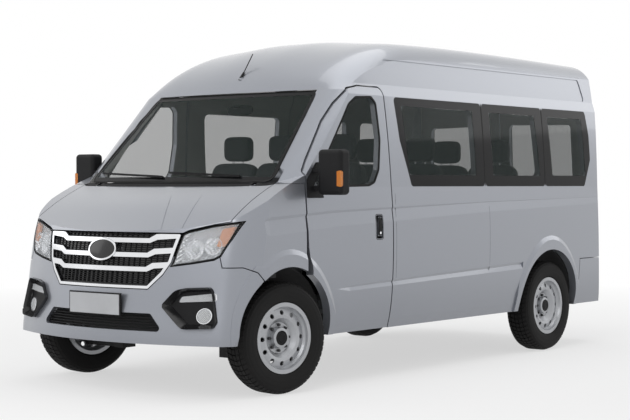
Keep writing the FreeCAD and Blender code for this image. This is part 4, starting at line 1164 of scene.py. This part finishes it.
def pale_floor():
    """White where it is seen, more so far off, less the object's shadow."""
    material = bpy.data.materials.new("pale floor")
    material.use_nodes = True
    tree = material.node_tree
    new, link = tree.nodes.new, tree.links.new
    bsdf = tree.nodes["Principled BSDF"]
    bsdf.inputs["Base Color"].default_value = (0.9, 0.9, 0.9, 1)
    bsdf.inputs["Roughness"].default_value = 0.9
    glow = new("ShaderNodeEmission")
    glow.inputs["Color"].default_value = (1, 1, 1, 1)
    length = new("ShaderNodeVectorMath")
    length.operation = "LENGTH"
    link(new("ShaderNodeTexCoord").outputs["Object"], length.inputs[0])
    near = new("ShaderNodeMapRange")
    link(length.outputs["Value"], near.inputs["Value"])
    for name, number in (("From Min", FLOOR_NEAR), ("From Max", FLOOR_FAR), ("To Min", FLOOR_GLOW)):
        near.inputs[name].default_value = number
    share = new("ShaderNodeMath")
    share.operation = "MULTIPLY"
    link(seen(tree), share.inputs[0])
    link(near.outputs[0], share.inputs[1])
    mix = new("ShaderNodeMixShader")
    link(share.outputs[0], mix.inputs[0])
    link(bsdf.outputs[0], mix.inputs[1])
    link(glow.outputs[0], mix.inputs[2])
    link(mix.outputs[0], tree.nodes["Material Output"].inputs[0])
    return material


def stage():
    """Floor, world, lamps and the photograph's camera."""
    scene = bpy.context.scene
    scene.view_settings.view_transform = "Standard"
    mesh = bmesh.new()
    bmesh.ops.create_grid(mesh, x_segments=1, y_segments=1, size=FLOOR_HALF)
    FINISH["ground"] = pale_floor()
    floor = made("floor", mesh, None, "ground", smooth=False)
    scene.world = studio()
    for name, spot, size, watts in LAMPS:
        lamp = bpy.data.lights.new(name, "AREA")
        lamp.size = size
        lamp.energy = watts
        thing = bpy.data.objects.new(name, lamp)
        thing.location = spot
        thing.rotation_euler = (Vector(LAMP_AIM) - Vector(spot)).to_track_quat("-Z", "Y").to_euler()
        scene.collection.objects.link(thing)
    camera = bpy.data.cameras.new("camera")
    camera.sensor_width = 36.0
    camera.lens = CAMERA_LENS
    camera.clip_end = 200.0
    thing = bpy.data.objects.new("camera", camera)
    thing.location = CAMERA_PLACE
    thing.rotation_euler = [math.radians(degrees) for degrees in CAMERA_TURN]
    scene.collection.objects.link(thing)
    scene.camera = thing


class MINIBUS_PT_panel(bpy.types.Panel):
    """Sizes and pieces of the minibus"""
    bl_label = "Minibus"
    bl_idname = "MINIBUS_PT_panel"
    bl_space_type = "VIEW_3D"
    bl_region_type = "UI"
    bl_category = "Minibus"

    def draw(self, context):
        for name in MINIBUS_Sizes.__annotations__:
            self.layout.prop(context.scene.minibus, name)
        for operator in OPERATORS:
            self.layout.operator(operator.bl_idname)


OPERATORS = (MINIBUS_OT_finishes, MINIBUS_OT_front_lamps, MINIBUS_OT_nose_trim, MINIBUS_OT_side_trim,
             MINIBUS_OT_rear_trim, MINIBUS_OT_wheels, MINIBUS_OT_cabin, MINIBUS_OT_stage)
CLASSES = (MINIBUS_Sizes, *OPERATORS, MINIBUS_PT_panel)


def register():
    for item in CLASSES:
        bpy.utils.register_class(item)
    bpy.types.Scene.minibus = PointerProperty(type=MINIBUS_Sizes)


def unregister():
    del bpy.types.Scene.minibus
    for item in reversed(CLASSES):
        bpy.utils.unregister_class(item)


def main():
    register()
    bpy.ops.minibus.finishes()
    bpy.ops.minibus.front_lamps()
    bpy.ops.minibus.nose_trim()
    bpy.ops.minibus.side_trim()
    bpy.ops.minibus.rear_trim()
    bpy.ops.minibus.wheels()
    bpy.ops.minibus.cabin()
    bpy.ops.minibus.stage()


if __name__ == "__main__":
    main()
